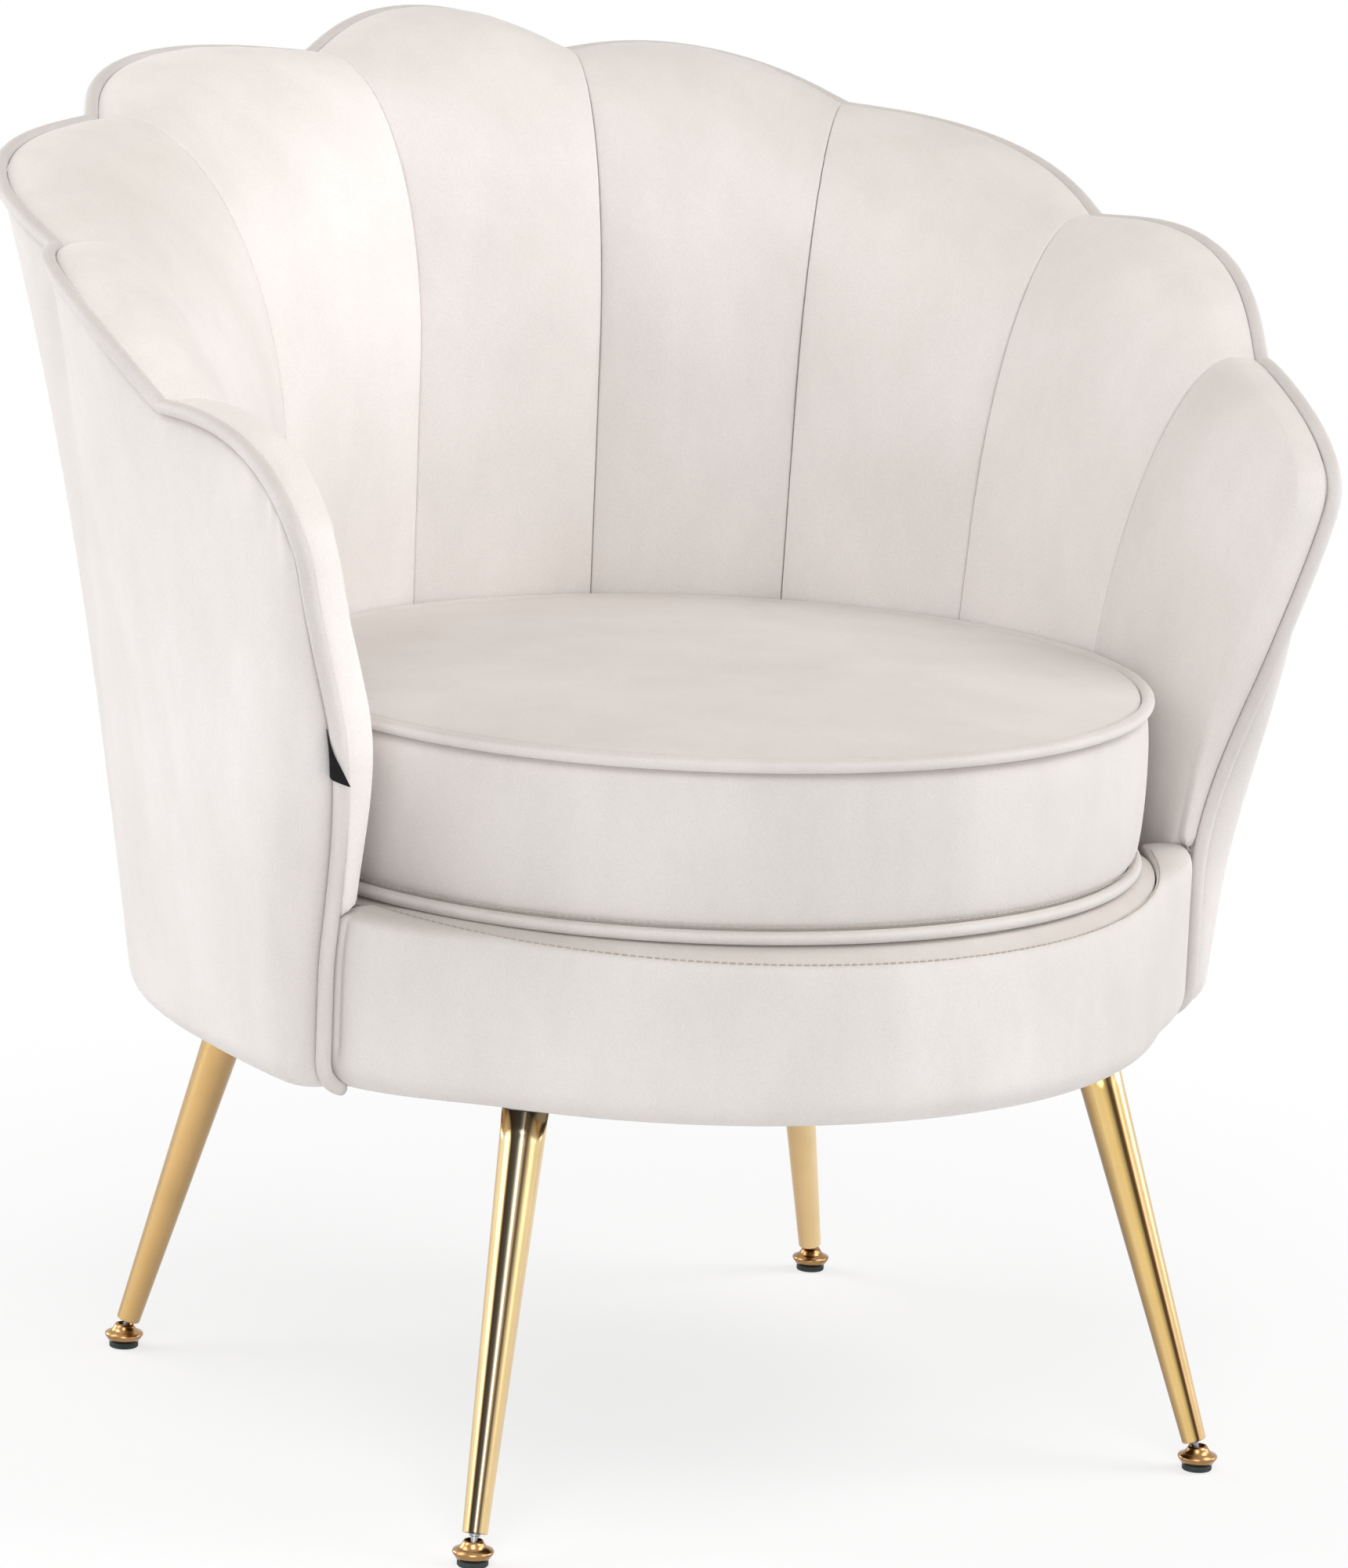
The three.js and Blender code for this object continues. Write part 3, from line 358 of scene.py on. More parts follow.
class Nodes:
    """A node tree whose nodes are added one by one."""

    def __init__(self, tree):
        self.tree = tree

    def node(self, kind, **settings):
        made = self.tree.nodes.new("ShaderNode" + kind)
        for key, value in settings.items():
            socket = key.replace("_", " ")
            if socket in made.inputs:
                self.put(made.inputs[socket], value)
            else:
                setattr(made, key, value)
        return made

    def put(self, socket, value):
        """Links an output to the socket, or writes a plain value there."""
        if isinstance(value, bpy.types.NodeSocket):
            self.tree.links.new(value, socket)
        else:
            socket.default_value = value

    def mix(self, factor, a, b, blend="MIX"):
        made = self.node("Mix", data_type="RGBA", blend_type=blend)
        for key, value in (("Factor", factor), ("A", a), ("B", b)):
            self.put(next(s for s in made.inputs if s.name == key and s.enabled), value)
        return next(s for s in made.outputs if s.enabled)

    def product(self, colour, *others):
        for other in others:
            colour = self.mix(1.0, colour, other, "MULTIPLY")
        return colour

    def math(self, operation, a, b=0.0, capped=False):
        made = self.node("Math", operation=operation, use_clamp=capped)
        self.put(made.inputs[0], a)
        self.put(made.inputs[1], b)
        return made.outputs[0]

    def seen_directly(self):
        """1 for camera, mirror and glass rays, which see the backdrop as plain white."""
        rays = self.node("LightPath").outputs
        mirrored = self.math("ADD", rays["Is Camera Ray"], rays["Is Glossy Ray"], True)
        return self.math("ADD", mirrored, rays["Is Transmission Ray"], True)

    def show(self, end, factor, first, second):
        """Sends two mixed shaders to the tree's end node."""
        mixed = self.node("MixShader", Fac=factor)
        self.put(mixed.inputs[1], first.outputs[0])
        self.put(mixed.inputs[2], second.outputs[0])
        self.put(self.tree.nodes[end].inputs["Surface"], mixed.outputs[0])


class Surface(Nodes):
    """A material with a Principled shader, patterned by the place in the object."""

    def __init__(self, name, **sockets):
        self.material = bpy.data.materials.new(name)
        self.material.use_nodes = True
        super().__init__(self.material.node_tree)
        self.shader = self.tree.nodes["Principled BSDF"]
        for socket, value in sockets.items():
            self.shader.inputs[socket.replace("_", " ")].default_value = value
        self.where = self.node("TexCoord").outputs["Object"]

    def noise(self, scale, detail=2.0, rough=0.5, stretch=None):
        made = self.node("TexNoise", Scale=scale, Detail=detail, Roughness=rough)
        where = self.where
        if stretch:
            where = self.node("Mapping", Scale=stretch, Vector=where).outputs["Vector"]
        self.put(made.inputs["Vector"], where)
        return made.outputs["Fac"]

    def wave(self, axis, scale, **settings):
        made = self.node("TexWave", bands_direction=axis, Scale=scale, **settings)
        self.put(made.inputs["Vector"], self.where)
        return made.outputs["Fac"]

    def ramp(self, value, stops):
        made = self.node("ValToRGB", Fac=value)
        elements = made.color_ramp.elements
        while len(elements) < len(stops):
            elements.new(0.5)
        for element, (at, colour) in zip(elements, stops):
            element.position, element.color = at, colour
        return made.outputs["Color"]

    def between(self, value, low, high):
        return self.ramp(value, [(0.3, low), (0.7, high)])

    def facing(self, direction):
        """How far the surface faces a direction that stands still in the room."""
        normal = self.node("NewGeometry").outputs["Normal"]
        made = self.node("VectorMath", operation="DOT_PRODUCT")
        self.put(made.inputs[0], normal)
        made.inputs[1].default_value = direction
        return made.outputs["Value"]

    def bump(self, height, distance, strength=1.0):
        made = self.node("Bump", Distance=distance, Strength=strength, Height=height)
        normal = self.shader.inputs["Normal"]
        if normal.is_linked:
            self.put(made.inputs["Normal"], normal.links[0].from_socket)
        self.put(normal, made.outputs["Normal"])

    def colour(self, output):
        self.put(self.shader.inputs["Base Color"], output)

    def rough(self, value, low, high):
        made = self.node("MapRange", To_Min=low, To_Max=high, Value=value)
        self.put(self.shader.inputs["Roughness"], made.outputs["Result"])


def velvet_material(name, level):
    """Velvet painted lighter or darker by level and darker where it faces up, as painted light and
    shade.
    """
    light, shade = (
        [c * level for c in srgb(*rgb)[:3]] + [1] for rgb in ((242, 236, 234), (231, 225, 221))
    )
    n = Surface(name, Roughness=0.88, Sheen_Weight=0.35, Sheen_Roughness=0.45,
                Specular_IOR_Level=0.18, Sheen_Tint=(1, 0.985, 0.97, 1))
    brushed = n.noise(24.0, 4.0, 0.6, (1.0, 1.0, 0.45))
    pile = n.noise(1300.0, 2.0, 0.6)
    broad = n.between(n.noise(6.0, 2.0, 0.4), shade, light)
    nap = n.between(brushed, srgb(247, 247, 246), WHITE)
    grain = n.between(pile, srgb(244, 244, 244), WHITE)
    # Painted shade: faces that turn up are painted darker.
    painted_top_shade = n.ramp(n.facing((0, 0, 1)), [(0.42, WHITE), (0.8, srgb(245, 243, 240))])
    n.colour(n.product(broad, nap, grain, painted_top_shade))
    n.bump(pile, 0.0003, 0.45)
    n.bump(n.noise(420.0, 3.0, 0.6), 0.0005, 0.3)
    n.bump(brushed, 0.0012, 0.12)
    return n.material


def metal_surface(name, roughness, scratch_depth):
    n = Surface(name, Metallic=1.0, Roughness=roughness)
    n.rough(n.noise(90.0, 4.0, 0.6, (1, 1, 0.1)), roughness - 0.05, roughness + 0.05)
    n.bump(n.noise(700.0, 2.0), scratch_depth, 0.3)
    return n


def metal_material(name, light, shade, roughness):
    n = metal_surface(name, roughness, 0.00005)
    n.colour(n.between(n.noise(30.0, 3.0), shade, light))
    return n.material


# Painted reflections: the polished legs' colour has bands along them, standing in for dark cards
# beside the camera.
PAINTED_REFLECTION_DIRECTION = (0.87, -0.492, 0.0)


def polished_gold(name, bands):
    n = metal_surface(name, 0.2, 0.00003)
    # Painted reflections: the colour ramp is picked by how far each face turns across the view.
    place_in = n.math("ADD", n.math("MULTIPLY", n.facing(PAINTED_REFLECTION_DIRECTION), 0.5), 0.5)
    worn = n.between(n.noise(40.0, 3.0), srgb(246, 245, 243), WHITE)
    n.colour(n.product(n.ramp(place_in, [(at, srgb(*rgb)) for at, *rgb in bands]), worn))
    return n.material


def cloth_material(name, light, shade, thread):
    n = Surface(name, Roughness=0.92, Specular_IOR_Level=0.2)
    across, along = (n.wave(axis, thread) for axis in "XY")
    weave = n.math("MULTIPLY", across, along)
    n.colour(n.mix(weave, n.between(n.noise(40.0, 3.0), shade, light), shade))
    n.bump(weave, 0.0003, 0.5)
    return n.material


def wood_material():
    n = Surface("plywood", Roughness=0.7, Specular_IOR_Level=0.3)
    rings = n.math("MULTIPLY", n.wave("Z", 60.0, Distortion=4.0, Detail=3.0), 0.35)
    grain = n.noise(30.0, 5.0, 0.6, (1, 1, 0.08))
    tone = n.math("ADD", rings, n.math("MULTIPLY", grain, 0.65))
    n.colour(n.between(tone, srgb(171, 134, 90), srgb(214, 184, 138)))
    n.rough(grain, 0.6, 0.8)
    n.bump(grain, 0.0003, 0.4)
    return n.material


def rubber_material():
    n = Surface("rubber", Roughness=0.7, Specular_IOR_Level=0.35)
    n.colour(n.between(n.noise(120.0, 3.0), srgb(34, 42, 42), srgb(56, 66, 66)))
    n.bump(n.noise(900.0, 2.0), 0.0001, 0.4)
    return n.material


THREAD = cloth_material("thread", srgb(206, 197, 188), srgb(190, 181, 172), 2400.0)
# Painted light and shade of the petals from the left arm to the right one, for how each nap catches
# the light.
PETAL_PAINTED_LIGHT = (1.07, 1.06, 1.06, 1.08, 1.0, 0.95, 0.98, 0.98, 0.95)
VELVET_PETALS = [
    velvet_material("velvet_petal_%d" % (i + 1), level) for i, level in enumerate(PETAL_PAINTED_LIGHT)
]
# Painted shade: darker copies of the velvet for the panel, the band, deck and cushion, and the
# pipings.
VELVET_PANEL = velvet_material("velvet_panel", 0.92)
VELVET_SHADE = velvet_material("velvet_shade", 0.89)
VELVET_WELT = velvet_material("velvet_welt", 0.84)
DECK_CLOTH = cloth_material("deck_cloth", srgb(222, 212, 204), srgb(206, 196, 187), 700.0)
BLACK_CLOTH = cloth_material("black_cloth", srgb(34, 34, 36), srgb(22, 22, 24), 900.0)
WEBBING = cloth_material("webbing", srgb(108, 98, 84), srgb(70, 62, 52), 420.0)
# Painted reflections and shading of each leg over its gold, as stops across the view.
GOLD = {name: polished_gold("gold_" + name, bands) for name, bands in {
    "front_left": [
        (0.02, 214, 184, 134), (0.09, 250, 222, 168), (0.19, 240, 210, 152),
        (0.25, 200, 172, 122), (0.29, 64, 50, 38), (0.45, 88, 82, 68), (0.49, 150, 142, 120),
        (0.51, 236, 228, 202), (0.54, 122, 106, 82), (0.63, 98, 80, 56), (0.7, 206, 182, 138),
        (0.78, 232, 204, 148), (0.95, 238, 212, 166),
    ],
    "front_right": [
        (0.02, 120, 100, 74), (0.1, 176, 146, 100), (0.2, 210, 176, 120), (0.28, 237, 204, 142),
        (0.46, 234, 198, 126), (0.55, 192, 164, 106), (0.62, 84, 66, 42), (0.69, 92, 66, 38),
        (0.74, 212, 178, 134), (0.8, 234, 198, 142), (0.95, 226, 196, 150),
    ],
    "rear_left": [
        (0.05, 188, 158, 112), (0.15, 226, 192, 134), (0.3, 228, 188, 128),
        (0.5, 210, 172, 116), (0.75, 190, 157, 112), (0.95, 178, 153, 114),
    ],
    "rear_right": [
        (0.05, 205, 172, 128), (0.3, 221, 188, 140), (0.6, 232, 200, 148),
        (0.9, 243, 216, 168),
    ],
}.items()}
BRASS = metal_material("foot_brass", srgb(186, 146, 100), srgb(140, 106, 68), 0.22)
STEEL = metal_material("steel", srgb(165, 166, 168), srgb(140, 141, 144), 0.36)
WOOD = wood_material()
RUBBER = rubber_material()


# Petals
CREST_INSET = 21.0
CREST_RISE_SEAM, CREST_RISE = 4.0, 5.0
BED_GAP = 0.25  # between a petal and its piping
BORDER = ((4.6, 0.9), (2.4, 0.0))  # under the piping: below the edge and outward
FOOT = 300.0
CROWN_POWER = 0.62
FLARE_BACK, FLARE_ARM = 168.0, 186.0
CROWN_SEAT, CROWN_TOP = 4.0, 11.0  # how far a pad bulges


def flare_at(angle):
    return lerp(FLARE_ARM, FLARE_BACK, cos(radians(angle)))


def crown_at(height):
    rise = smooth(height, CUSHION_TOP, CUSHION_TOP + FLARE_BACK)
    return lerp(CROWN_SEAT, CROWN_TOP, rise)


CREST_TURNS, ROLL_TURNS = quarter_turns(8), quarter_turns(27)[1:]
FACE_STEPS = 39


def face_rows(edge_radius, inset, rise, flank, total, lean, crown, lift):
    """(distance below the edge, radius) places down the face of a pad.

    They run from under the piping over the crest, which lies inset from the edge, roll inward
    over the flank, and go down to the foot. lean and crown give the face's radius and its
    bulge at a distance, and lift is 1 where the bulge raises the roll too.
    """
    bed, crest_radius = edge_radius - PIPING_RADIUS - BED_GAP, edge_radius - inset
    rows = [(below, bed + out) for below, out in BORDER]
    for _, sine, cosine in CREST_TURNS:
        rows.append((-rise * cosine, crest_radius + (bed - crest_radius) * sine))
    reach = crest_radius - lean(-rise)
    for turn, sine, cosine in ROLL_TURNS:
        below = -rise + flank * (1 - sine)
        bulge = crown(below) * (1 - turn)
        radius = lean(below) + reach * (1 - cosine) - bulge * cosine
        rows.append((below - lift * bulge * sine, radius))
    for below in spread(flank - rise, total, FACE_STEPS)[1:]:
        rows.append((below, lean(below) - crown(below)))
    return rows


def petal_row_places(petal, share):
    """The (radius, height) places of a petal's face, and of its hidden rear."""
    edge_height, edge_radius = edge_at(petal, share)
    total = edge_height - FOOT
    proud = arch(share, CROWN_POWER)
    rise = lerp(CREST_RISE_SEAM, CREST_RISE, proud)
    flank = flare_at(angle_at(petal, share, edge_height))

    def lean(below):
        return lean_radius(petal, share, edge_height - below)

    def crown(below):
        return crown_at(edge_height - below) * proud

    rows = face_rows(edge_radius, CREST_INSET, rise, flank, total, lean, crown, 1)
    rear = []
    for below in spread(PIPING_BED, total, len(rows)):
        height = edge_height - below
        rear.append((rear_at(petal, share, height, below), height))
    return [(radius, edge_height - below) for below, radius in rows], rear


PETAL_SHARES = [0.0, 0.006, 0.02, 0.045, 0.08] + spread(0.125, 0.875, 19)
PETAL_SHARES += [0.92, 0.955, 0.98, 0.994, 1.0]
SEAM_GAP = 0.3  # between neighbours, at the seam's line
SEAM_DEPTH = 5.0  # what a petal's border turns in


def petal_grids(petal):
    front, rear = [], []
    side = -1 if petal < 0 else 1
    for k, share in enumerate([0.0] + PETAL_SHARES + [1.0]):
        tucked = SEAM_DEPTH if k in (0, len(PETAL_SHARES) + 1) else 0.0
        inward = side if share < 0.5 else -side
        offset = inward * SEAM_GAP / 2 if share in (0.0, 1.0) else 0.0

        def angle_of(radius, height):
            return angle_at(petal, share, height) + degrees(offset / radius)

        face, hidden = petal_row_places(petal, share)
        face = face[:2] + [(radius + tucked, height) for radius, height in face[2:]]
        front.append(spun(face, angle_of))
        rear.append(spun(hidden, angle_of))
    return front, rear


# The arm's pad is a fan: its lines start at the piping, from the seam's top round the corner
# and down the front, and all end at the seam's foot, which the cushion hides.
ARM_FLAT = 100.0  # the arm's width, unrolled
ARM_FRONT_FOOT = 340.0
ARM_LINES = 56
ARM_ANGLE = 93.45  # of the arm's seam
NOSE_FLANK, NOSE_FLANK_FOOT = 62.0, 34.0
LOW_RISE, LOW_AIM = 70.0, np.array((-0.35, -0.94))  # of lines that start low in front
BEND, LOW_BEND = 0.5, 0.24  # where a line bends, as a share of the way to the foot
PROUD_FULL, PROUD_LOSS = 0.55, 0.85  # where the pad is full, and its loss in front


def arm_edge_line():
    """Even steps along the arm's piping in the unrolled plane, from the seam's top to the foot."""
    dense = []
    for i in range(400):
        share = sin(i / 399 * pi / 2) ** (2 / ARM_CORNER_POWER)
        dense.append((ARM_FLAT * share, edge_at(ARM, share)[0]))
    dense += [(ARM_FLAT, height) for height in spread(ARM_CORNER, ARM_FRONT_FOOT, 200)[1:]]
    dense = np.array(dense)
    steps = ways_along(dense)
    ways = np.linspace(0, steps[-1], ARM_LINES)
    line = np.stack([np.interp(ways, steps, dense[:, k]) for k in (0, 1)], axis=1)
    tangent = np.gradient(line, axis=0)
    tangent /= np.linalg.norm(tangent, axis=1)[:, None]
    tangent[0] = (1, 0)
    inward = np.stack([tangent[:, 1], -tangent[:, 0]], axis=1)
    return line, inward, ways


def arm_proud(share):
    rise = (1 - (1 - clamp(share / PROUD_FULL)) ** 2) ** CROWN_POWER
    return rise * (1 - PROUD_LOSS * smooth(share, 0.5, 1.0))


def arm_curve(start, into):
    """A bent line of the fan: (share, height) as a function of the way, and its length."""
    centre = np.array((0.0, FOOT))
    low = 1 - smooth(start[1], ARM_FRONT_FOOT, ARM_FRONT_FOOT + LOW_RISE)
    low *= start[0] / ARM_FLAT
    aim = lerp(into, LOW_AIM, low)
    handle = start + aim * lerp(BEND, LOW_BEND, low) * np.linalg.norm(start - centre)
    ts = np.linspace(0, 1, 90)[:, None]
    curve = (1 - ts) ** 2 * start + 2 * ts * (1 - ts) * handle + ts ** 2 * centre
    ways = ways_along(curve)

    def spot_at(way):
        if way < 0:
            flat, height = start + into * way
        else:
            flat, height = (np.interp(way, ways, curve[:, k]) for k in (0, 1))
        return flat / ARM_FLAT, height

    return spot_at, ways[-1]


def arm_grids(side):
    edge, inward, ways = arm_edge_line()
    corner = np.abs(edge[:, 1] - ARM_CORNER) + np.abs(edge[:, 0] - ARM_FLAT) * 0.1
    corner_way = ways[np.argmin(corner)]
    front, rear = [], []

    def at(spot, radius):
        share, height = spot
        over = max(share - 1, 0) * ARM_FLAT
        angle = angle_at(ARM, min(share, 1.0), height) + degrees(over / radius)
        return polar(side * angle, radius, height)

    for start, into, way in zip(edge, inward, ways):
        edge_radius = outer_radius(ARM, start[0] / ARM_FLAT, start[1])
        rise = lerp(CREST_RISE_SEAM, CREST_RISE, smooth(way, 0, corner_way * 0.5))
        flank = lerp(flare_at(ARM_ANGLE), NOSE_FLANK, smooth(way, 0, corner_way))
        if start[1] < ARM_CORNER:
            foot = smooth(start[1], ARM_CORNER, ARM_FRONT_FOOT + 20)
            flank = lerp(flank, NOSE_FLANK_FOOT, foot)
        spot_at, total = arm_curve(start, into)

        def lean(below):
            return lean_radius(ARM, *spot_at(below))

        def crown(below):
            share, height = spot_at(below)
            return crown_at(height) * arm_proud(share)

        depth = edge_radius - lean(0)
        inset = min(CREST_INSET, PIPING_BED + 0.5 * (depth - PIPING_BED))
        rows = face_rows(edge_radius, inset, rise, flank, total, lean, crown, 0)
        belows = spread(PIPING_BED, total, len(rows))
        hidden = [at(spot_at(b), rear_at(ARM, *spot_at(b), b)) for b in belows]
        for tuck in (SEAM_DEPTH, 0) if way == 0 else (0,):
            tucks = [0, 0] + [tuck] * (len(rows) - 2)
            front.append([at(spot_at(b), r + deep) for (b, r), deep in zip(rows, tucks)])
            rear.append(hidden)
    return evened(front), rear


EVEN_ROUNDS = 70


def evened(front):
    """The arm's face with even lines where they crowd behind the rounded corner."""
    face = np.array(front, float)
    rows, columns = face.shape[:2]
    across = np.array([smooth(i, 5, 14) * smooth(rows - 1 - i, 0, 4) for i in range(rows)])
    down = np.array([smooth(j, 16, 32) for j in range(columns)])
    weight = 0.5 * (across[:, None] * down)[1:-1, :, None]
    for _ in range(EVEN_ROUNDS):
        face[1:-1] += weight * ((face[:-2] + face[2:]) / 2 - face[1:-1])
    return face.tolist()


def from_seams(way):
    return np.minimum(way, way[-1] - way)


PUCKER_DEPTH, PUCKER_REACH = 1.5, 20.0  # gathers beside the piping
GATHER_DEPTH, GATHER_REACH = 0.4, 9.0  # and beside the seams
PUCKERS = ((9.0, 70.0, 1, 0), (4.5, 45.0, 0.6, 9))
GATHERS = ((11.0, 40.0, 1, 20),)


def gathered(front, number):
    """A petal's face with the short gathers that its sewn borders leave in the velvet."""
    face = np.array(front, float)
    normal = np.cross(np.gradient(face, axis=0), np.gradient(face, axis=1))
    normal /= np.maximum(np.linalg.norm(normal, axis=2, keepdims=True), 1e-9)
    fall, way = ways_along(face, 1), ways_along(face)
    aside = from_seams(way)
    for i in range(face.shape[0]):
        for j in range(5, face.shape[1]):
            down, along, edge = fall[i, j] - fall[i, 4], way[i, 6], aside[i, j]
            pucker = ripples(PUCKERS, along, down, number)
            gather = ripples(GATHERS, down, edge, number)
            depth = PUCKER_DEPTH * pucker * smooth(down, 1, 7) * exp(-down / PUCKER_REACH)
            depth += GATHER_DEPTH * gather * exp(-edge / GATHER_REACH) * smooth(down, 5, 30)
            free = smooth(edge, 0.5, 5) * smooth(face[i, j, 2], CUSHION_TOP + 2, CUSHION_TOP + 30)
            face[i, j] += normal[i, j] * depth * free
    return face.tolist()


SWELL = 3.0  # the most that the simulation moves a petal's face
SWELL_FRAMES = 20
CALM_PETAL, CALM_ARM = 1.0, 34.0  # how far from the seams that fades in
CLOTH = {
    "quality": 5, "mass": 0.3, "tension_stiffness": 14, "compression_stiffness": 14,
    "shear_stiffness": 6, "bending_stiffness": 0.6, "shrink_min": -0.012,
    "use_pressure": True, "uniform_pressure_force": 4,
}


def swell(front, calm, name):
    """Blows a petal's face up as cloth, its borders held, and moves it by at most SWELL."""
    rows, columns = len(front), len(front[0])
    rest = place([p for row in front for p in row])
    mesh = new_mesh(name + "_cloth", rest, grid_faces(rows, columns))
    middle = mesh.polygons[len(mesh.polygons) // 2]
    seat = Vector((0, SEAT_SHIFT / 1000, middle.center.z))
    if middle.normal.dot(seat - middle.center) < 0:
        mesh.flip_normals()
    cloth = new_object(name + "_cloth", mesh)
    pins = cloth.vertex_groups.new(name="pins")
    pins.add([
        i * columns + j for i in range(rows) for j in range(columns)
        if i < 2 or i >= rows - 2 or j < 4 or j >= columns - 2
    ], 1.0, "REPLACE")
    settings = cloth.modifiers.new("Cloth", "CLOTH").settings
    settings.vertex_group_mass = "pins"
    settings.effector_weights.gravity = 0
    for key, value in CLOTH.items():
        setattr(settings, key, value)
    scene = bpy.context.scene
    for step in range(1, SWELL_FRAMES + 1):
        scene.frame_set(step)
    found = cloth.evaluated_get(bpy.context.evaluated_depsgraph_get())
    moved = np.array([v.co for v in found.data.vertices])
    scene.frame_set(1)
    bpy.data.objects.remove(cloth)
    shift = moved - rest
    length = np.linalg.norm(shift, axis=1, keepdims=True)
    shift *= np.minimum(1, SWELL / 1000 / np.maximum(length, 1e-9))
    above = np.clip((rest[:, 2:] * 1000 - CUSHION_TOP - 4) / 40, 0, 1)
    aside = from_seams(ways_along(rest.reshape(rows, columns, 3) * 1000))
    free = np.clip(aside / calm, 0, 1).reshape(-1, 1)
    shift *= above * free * free * (3 - 2 * free)
    return ((rest + shift) * 1000 - (0, SEAT_SHIFT, 0)).reshape(rows, columns, 3).tolist()


def build_petals():
    for petal in range(-ARM, ARM + 1):
        number = petal + ARM + 1
        arm = abs(petal) == ARM
        front, rear = arm_grids(1 if petal > 0 else -1) if arm else petal_grids(petal)
        name = "petal_%d" % number
        front = swell(front, CALM_ARM if arm else CALM_PETAL, name)
        lines = list(zip(gathered(front, number), rear))
        piece = closed_sheet(name, lines, VELVET_PETALS[number - 1])
        subdivide(piece)
        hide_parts("back_channel_%d" % number)


# Edge piping
def edge_path():
    """From under one arm's front up and round the scallops to the other's."""
    low = BASE_BOTTOM + BASE_CORNER
    places = corner_places(outer_radius(ARM, 1, low), 0, BASE_BOTTOM)[7:0:-1]
    places += [(outer_radius(ARM, 1, height), height) for height in spread(low, ARM_CORNER, 54)]
    side = spun(places, lambda radius, height: arm_front_at(height))
    for i in range(1, 40):
        side.append(edge_spot(ARM, cos(i / 40 * pi / 2) ** (2 / ARM_CORNER_POWER)))
    for petal in (3, 2, 1):
        side += [edge_spot(petal, 1 - i / 32) for i in range(32)]
    middle = [edge_spot(0, 1 - i / 32) for i in range(33)]
    return side + middle + [(-x, y, z) for x, y, z in reversed(side)]


def build_edge_piping():
    piece = tube("edge_welt", edge_path(), PIPING_RADIUS, VELVET_WELT, sides=16)
    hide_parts("edge_piping")


# Outer panel
PANEL_RISES = [0.0, 0.003, 0.009, 0.018, 0.03, 0.045] + spread(0.065, 1.0, 46)
PANEL_STEPS = 22  # over a petal's width
TUCK_DEPTH, TUCK_FALL = 2.6, 2.2  # how the cloth turns in at the piping
PANEL_RIPPLE, RIPPLE_START, RIPPLE_REACH = 2.0, 7.0, 18.0  # how it waves below that
PANEL_RIPPLES = ((13.0, 40.0, 1, 0.3), (7.0, 30.0, 0.5, 4.0))
PANEL_FRONT_GAP = 5.6  # from the middle of the arm's front piping


def panel_lines(petal, share, way):
    """Outer and inner line of the panel, from the piping down and under the base."""
    top = edge_at(petal, share)[0] - PIPING_RADIUS * 0.9
    low = BASE_BOTTOM + BASE_CORNER
    foot = outer_radius(petal, share, low)
    front = PANEL_FRONT_GAP * share if abs(petal) == ARM else 0.0
    outer, inner = [], []
    for rise in PANEL_RISES:
        height = lerp(top, low, rise)
        radius = outer_radius(petal, share, height)
        below = top - height
        tuck = TUCK_DEPTH * exp(-((below / TUCK_FALL) ** 2))
        fade = smooth(below, 0, RIPPLE_START) * exp(-below / RIPPLE_REACH)
        wave = ripples(PANEL_RIPPLES, way, below)
        outer.append((radius - tuck + PANEL_RIPPLE * wave * fade, height))
        inner.append((radius - PANEL_THICKNESS, height - (0 if rise else 2)))
    outer += corner_places(foot, 0, BASE_BOTTOM)[1:]
    inner += corner_places(foot, PANEL_THICKNESS, BASE_BOTTOM + WRAP)[1:]

    def angle_of(radius, height):
        gap = copysign(degrees(front / radius), petal)
        return angle_at(petal, share, height) - gap

    return spun(outer, angle_of), spun(inner, angle_of)


def around():
    """Petal and share right round the back, from the left arm's front to the right one's."""
    places = []
    for petal in range(-ARM, ARM + 1):
        shares = spread(0.0, 1.0, PANEL_STEPS + 1)
        if abs(petal) == ARM:
            shares = [t * (1.5 - 0.5 * t) for t in spread(0.0, 1.0, 2 * PANEL_STEPS + 1)]
        if petal < 0:
            shares = shares[::-1]
        places += [(petal, share) for share in (shares if petal == -ARM else shares[1:])]
    return places


def build_panel():
    lines, way, last = [], 0.0, None
    for petal, share in around():
        here = Vector(edge_spot(petal, share))
        way += (here - last).length if last else 0
        last = here
        lines.append(panel_lines(petal, share, way))
    piece = closed_sheet("outer_shell", lines, VELVET_PANEL)
    subdivide(piece)
    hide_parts("outer_panel")


# Front band
BAND_RADIUS, BAND_THICKNESS = 266.0, 9.0
BAND_BEHIND = 3.0  # how far the band's end runs behind the piping's middle
BAND_FLARE = 0.3  # the share of the way to the middle over which it widens to the arm
BAND_SHOULDER, ARM_SHOULDER = 39.0, 20.0  # from its seam down to where it is widest
SHOULDER_POWER, ARM_SHOULDER_POWER = 2.0, 5.0
BAND_RIM = ((0, 5.4), (0, 2.4), (0.1, 0.6))  # outward from the seam, and below it
FOLD_DEPTH, FOLD_PLACE, FOLD_WIDTH = 1.3, 0.02, 0.004  # beside the piping
BAND_SHARES = [0, 0.003, 0.008, 0.013, 0.017, 0.02, 0.023, 0.027, 0.034, 0.045, 0.062]
BAND_SHARES += spread(0.085, 1, 54)


def band_seam(share):
    """Height of the band's seam, at a share of the way from the arm to the middle."""
    return BAND_TOP + BAND_SIDE_RISE * (1 - share) ** 2


def band_widest(share, height):
    arm = outer_radius(ARM, 1, height) - PIPING_BED
    return lerp(arm, BAND_RADIUS, smooth(share, 0, BAND_FLARE))


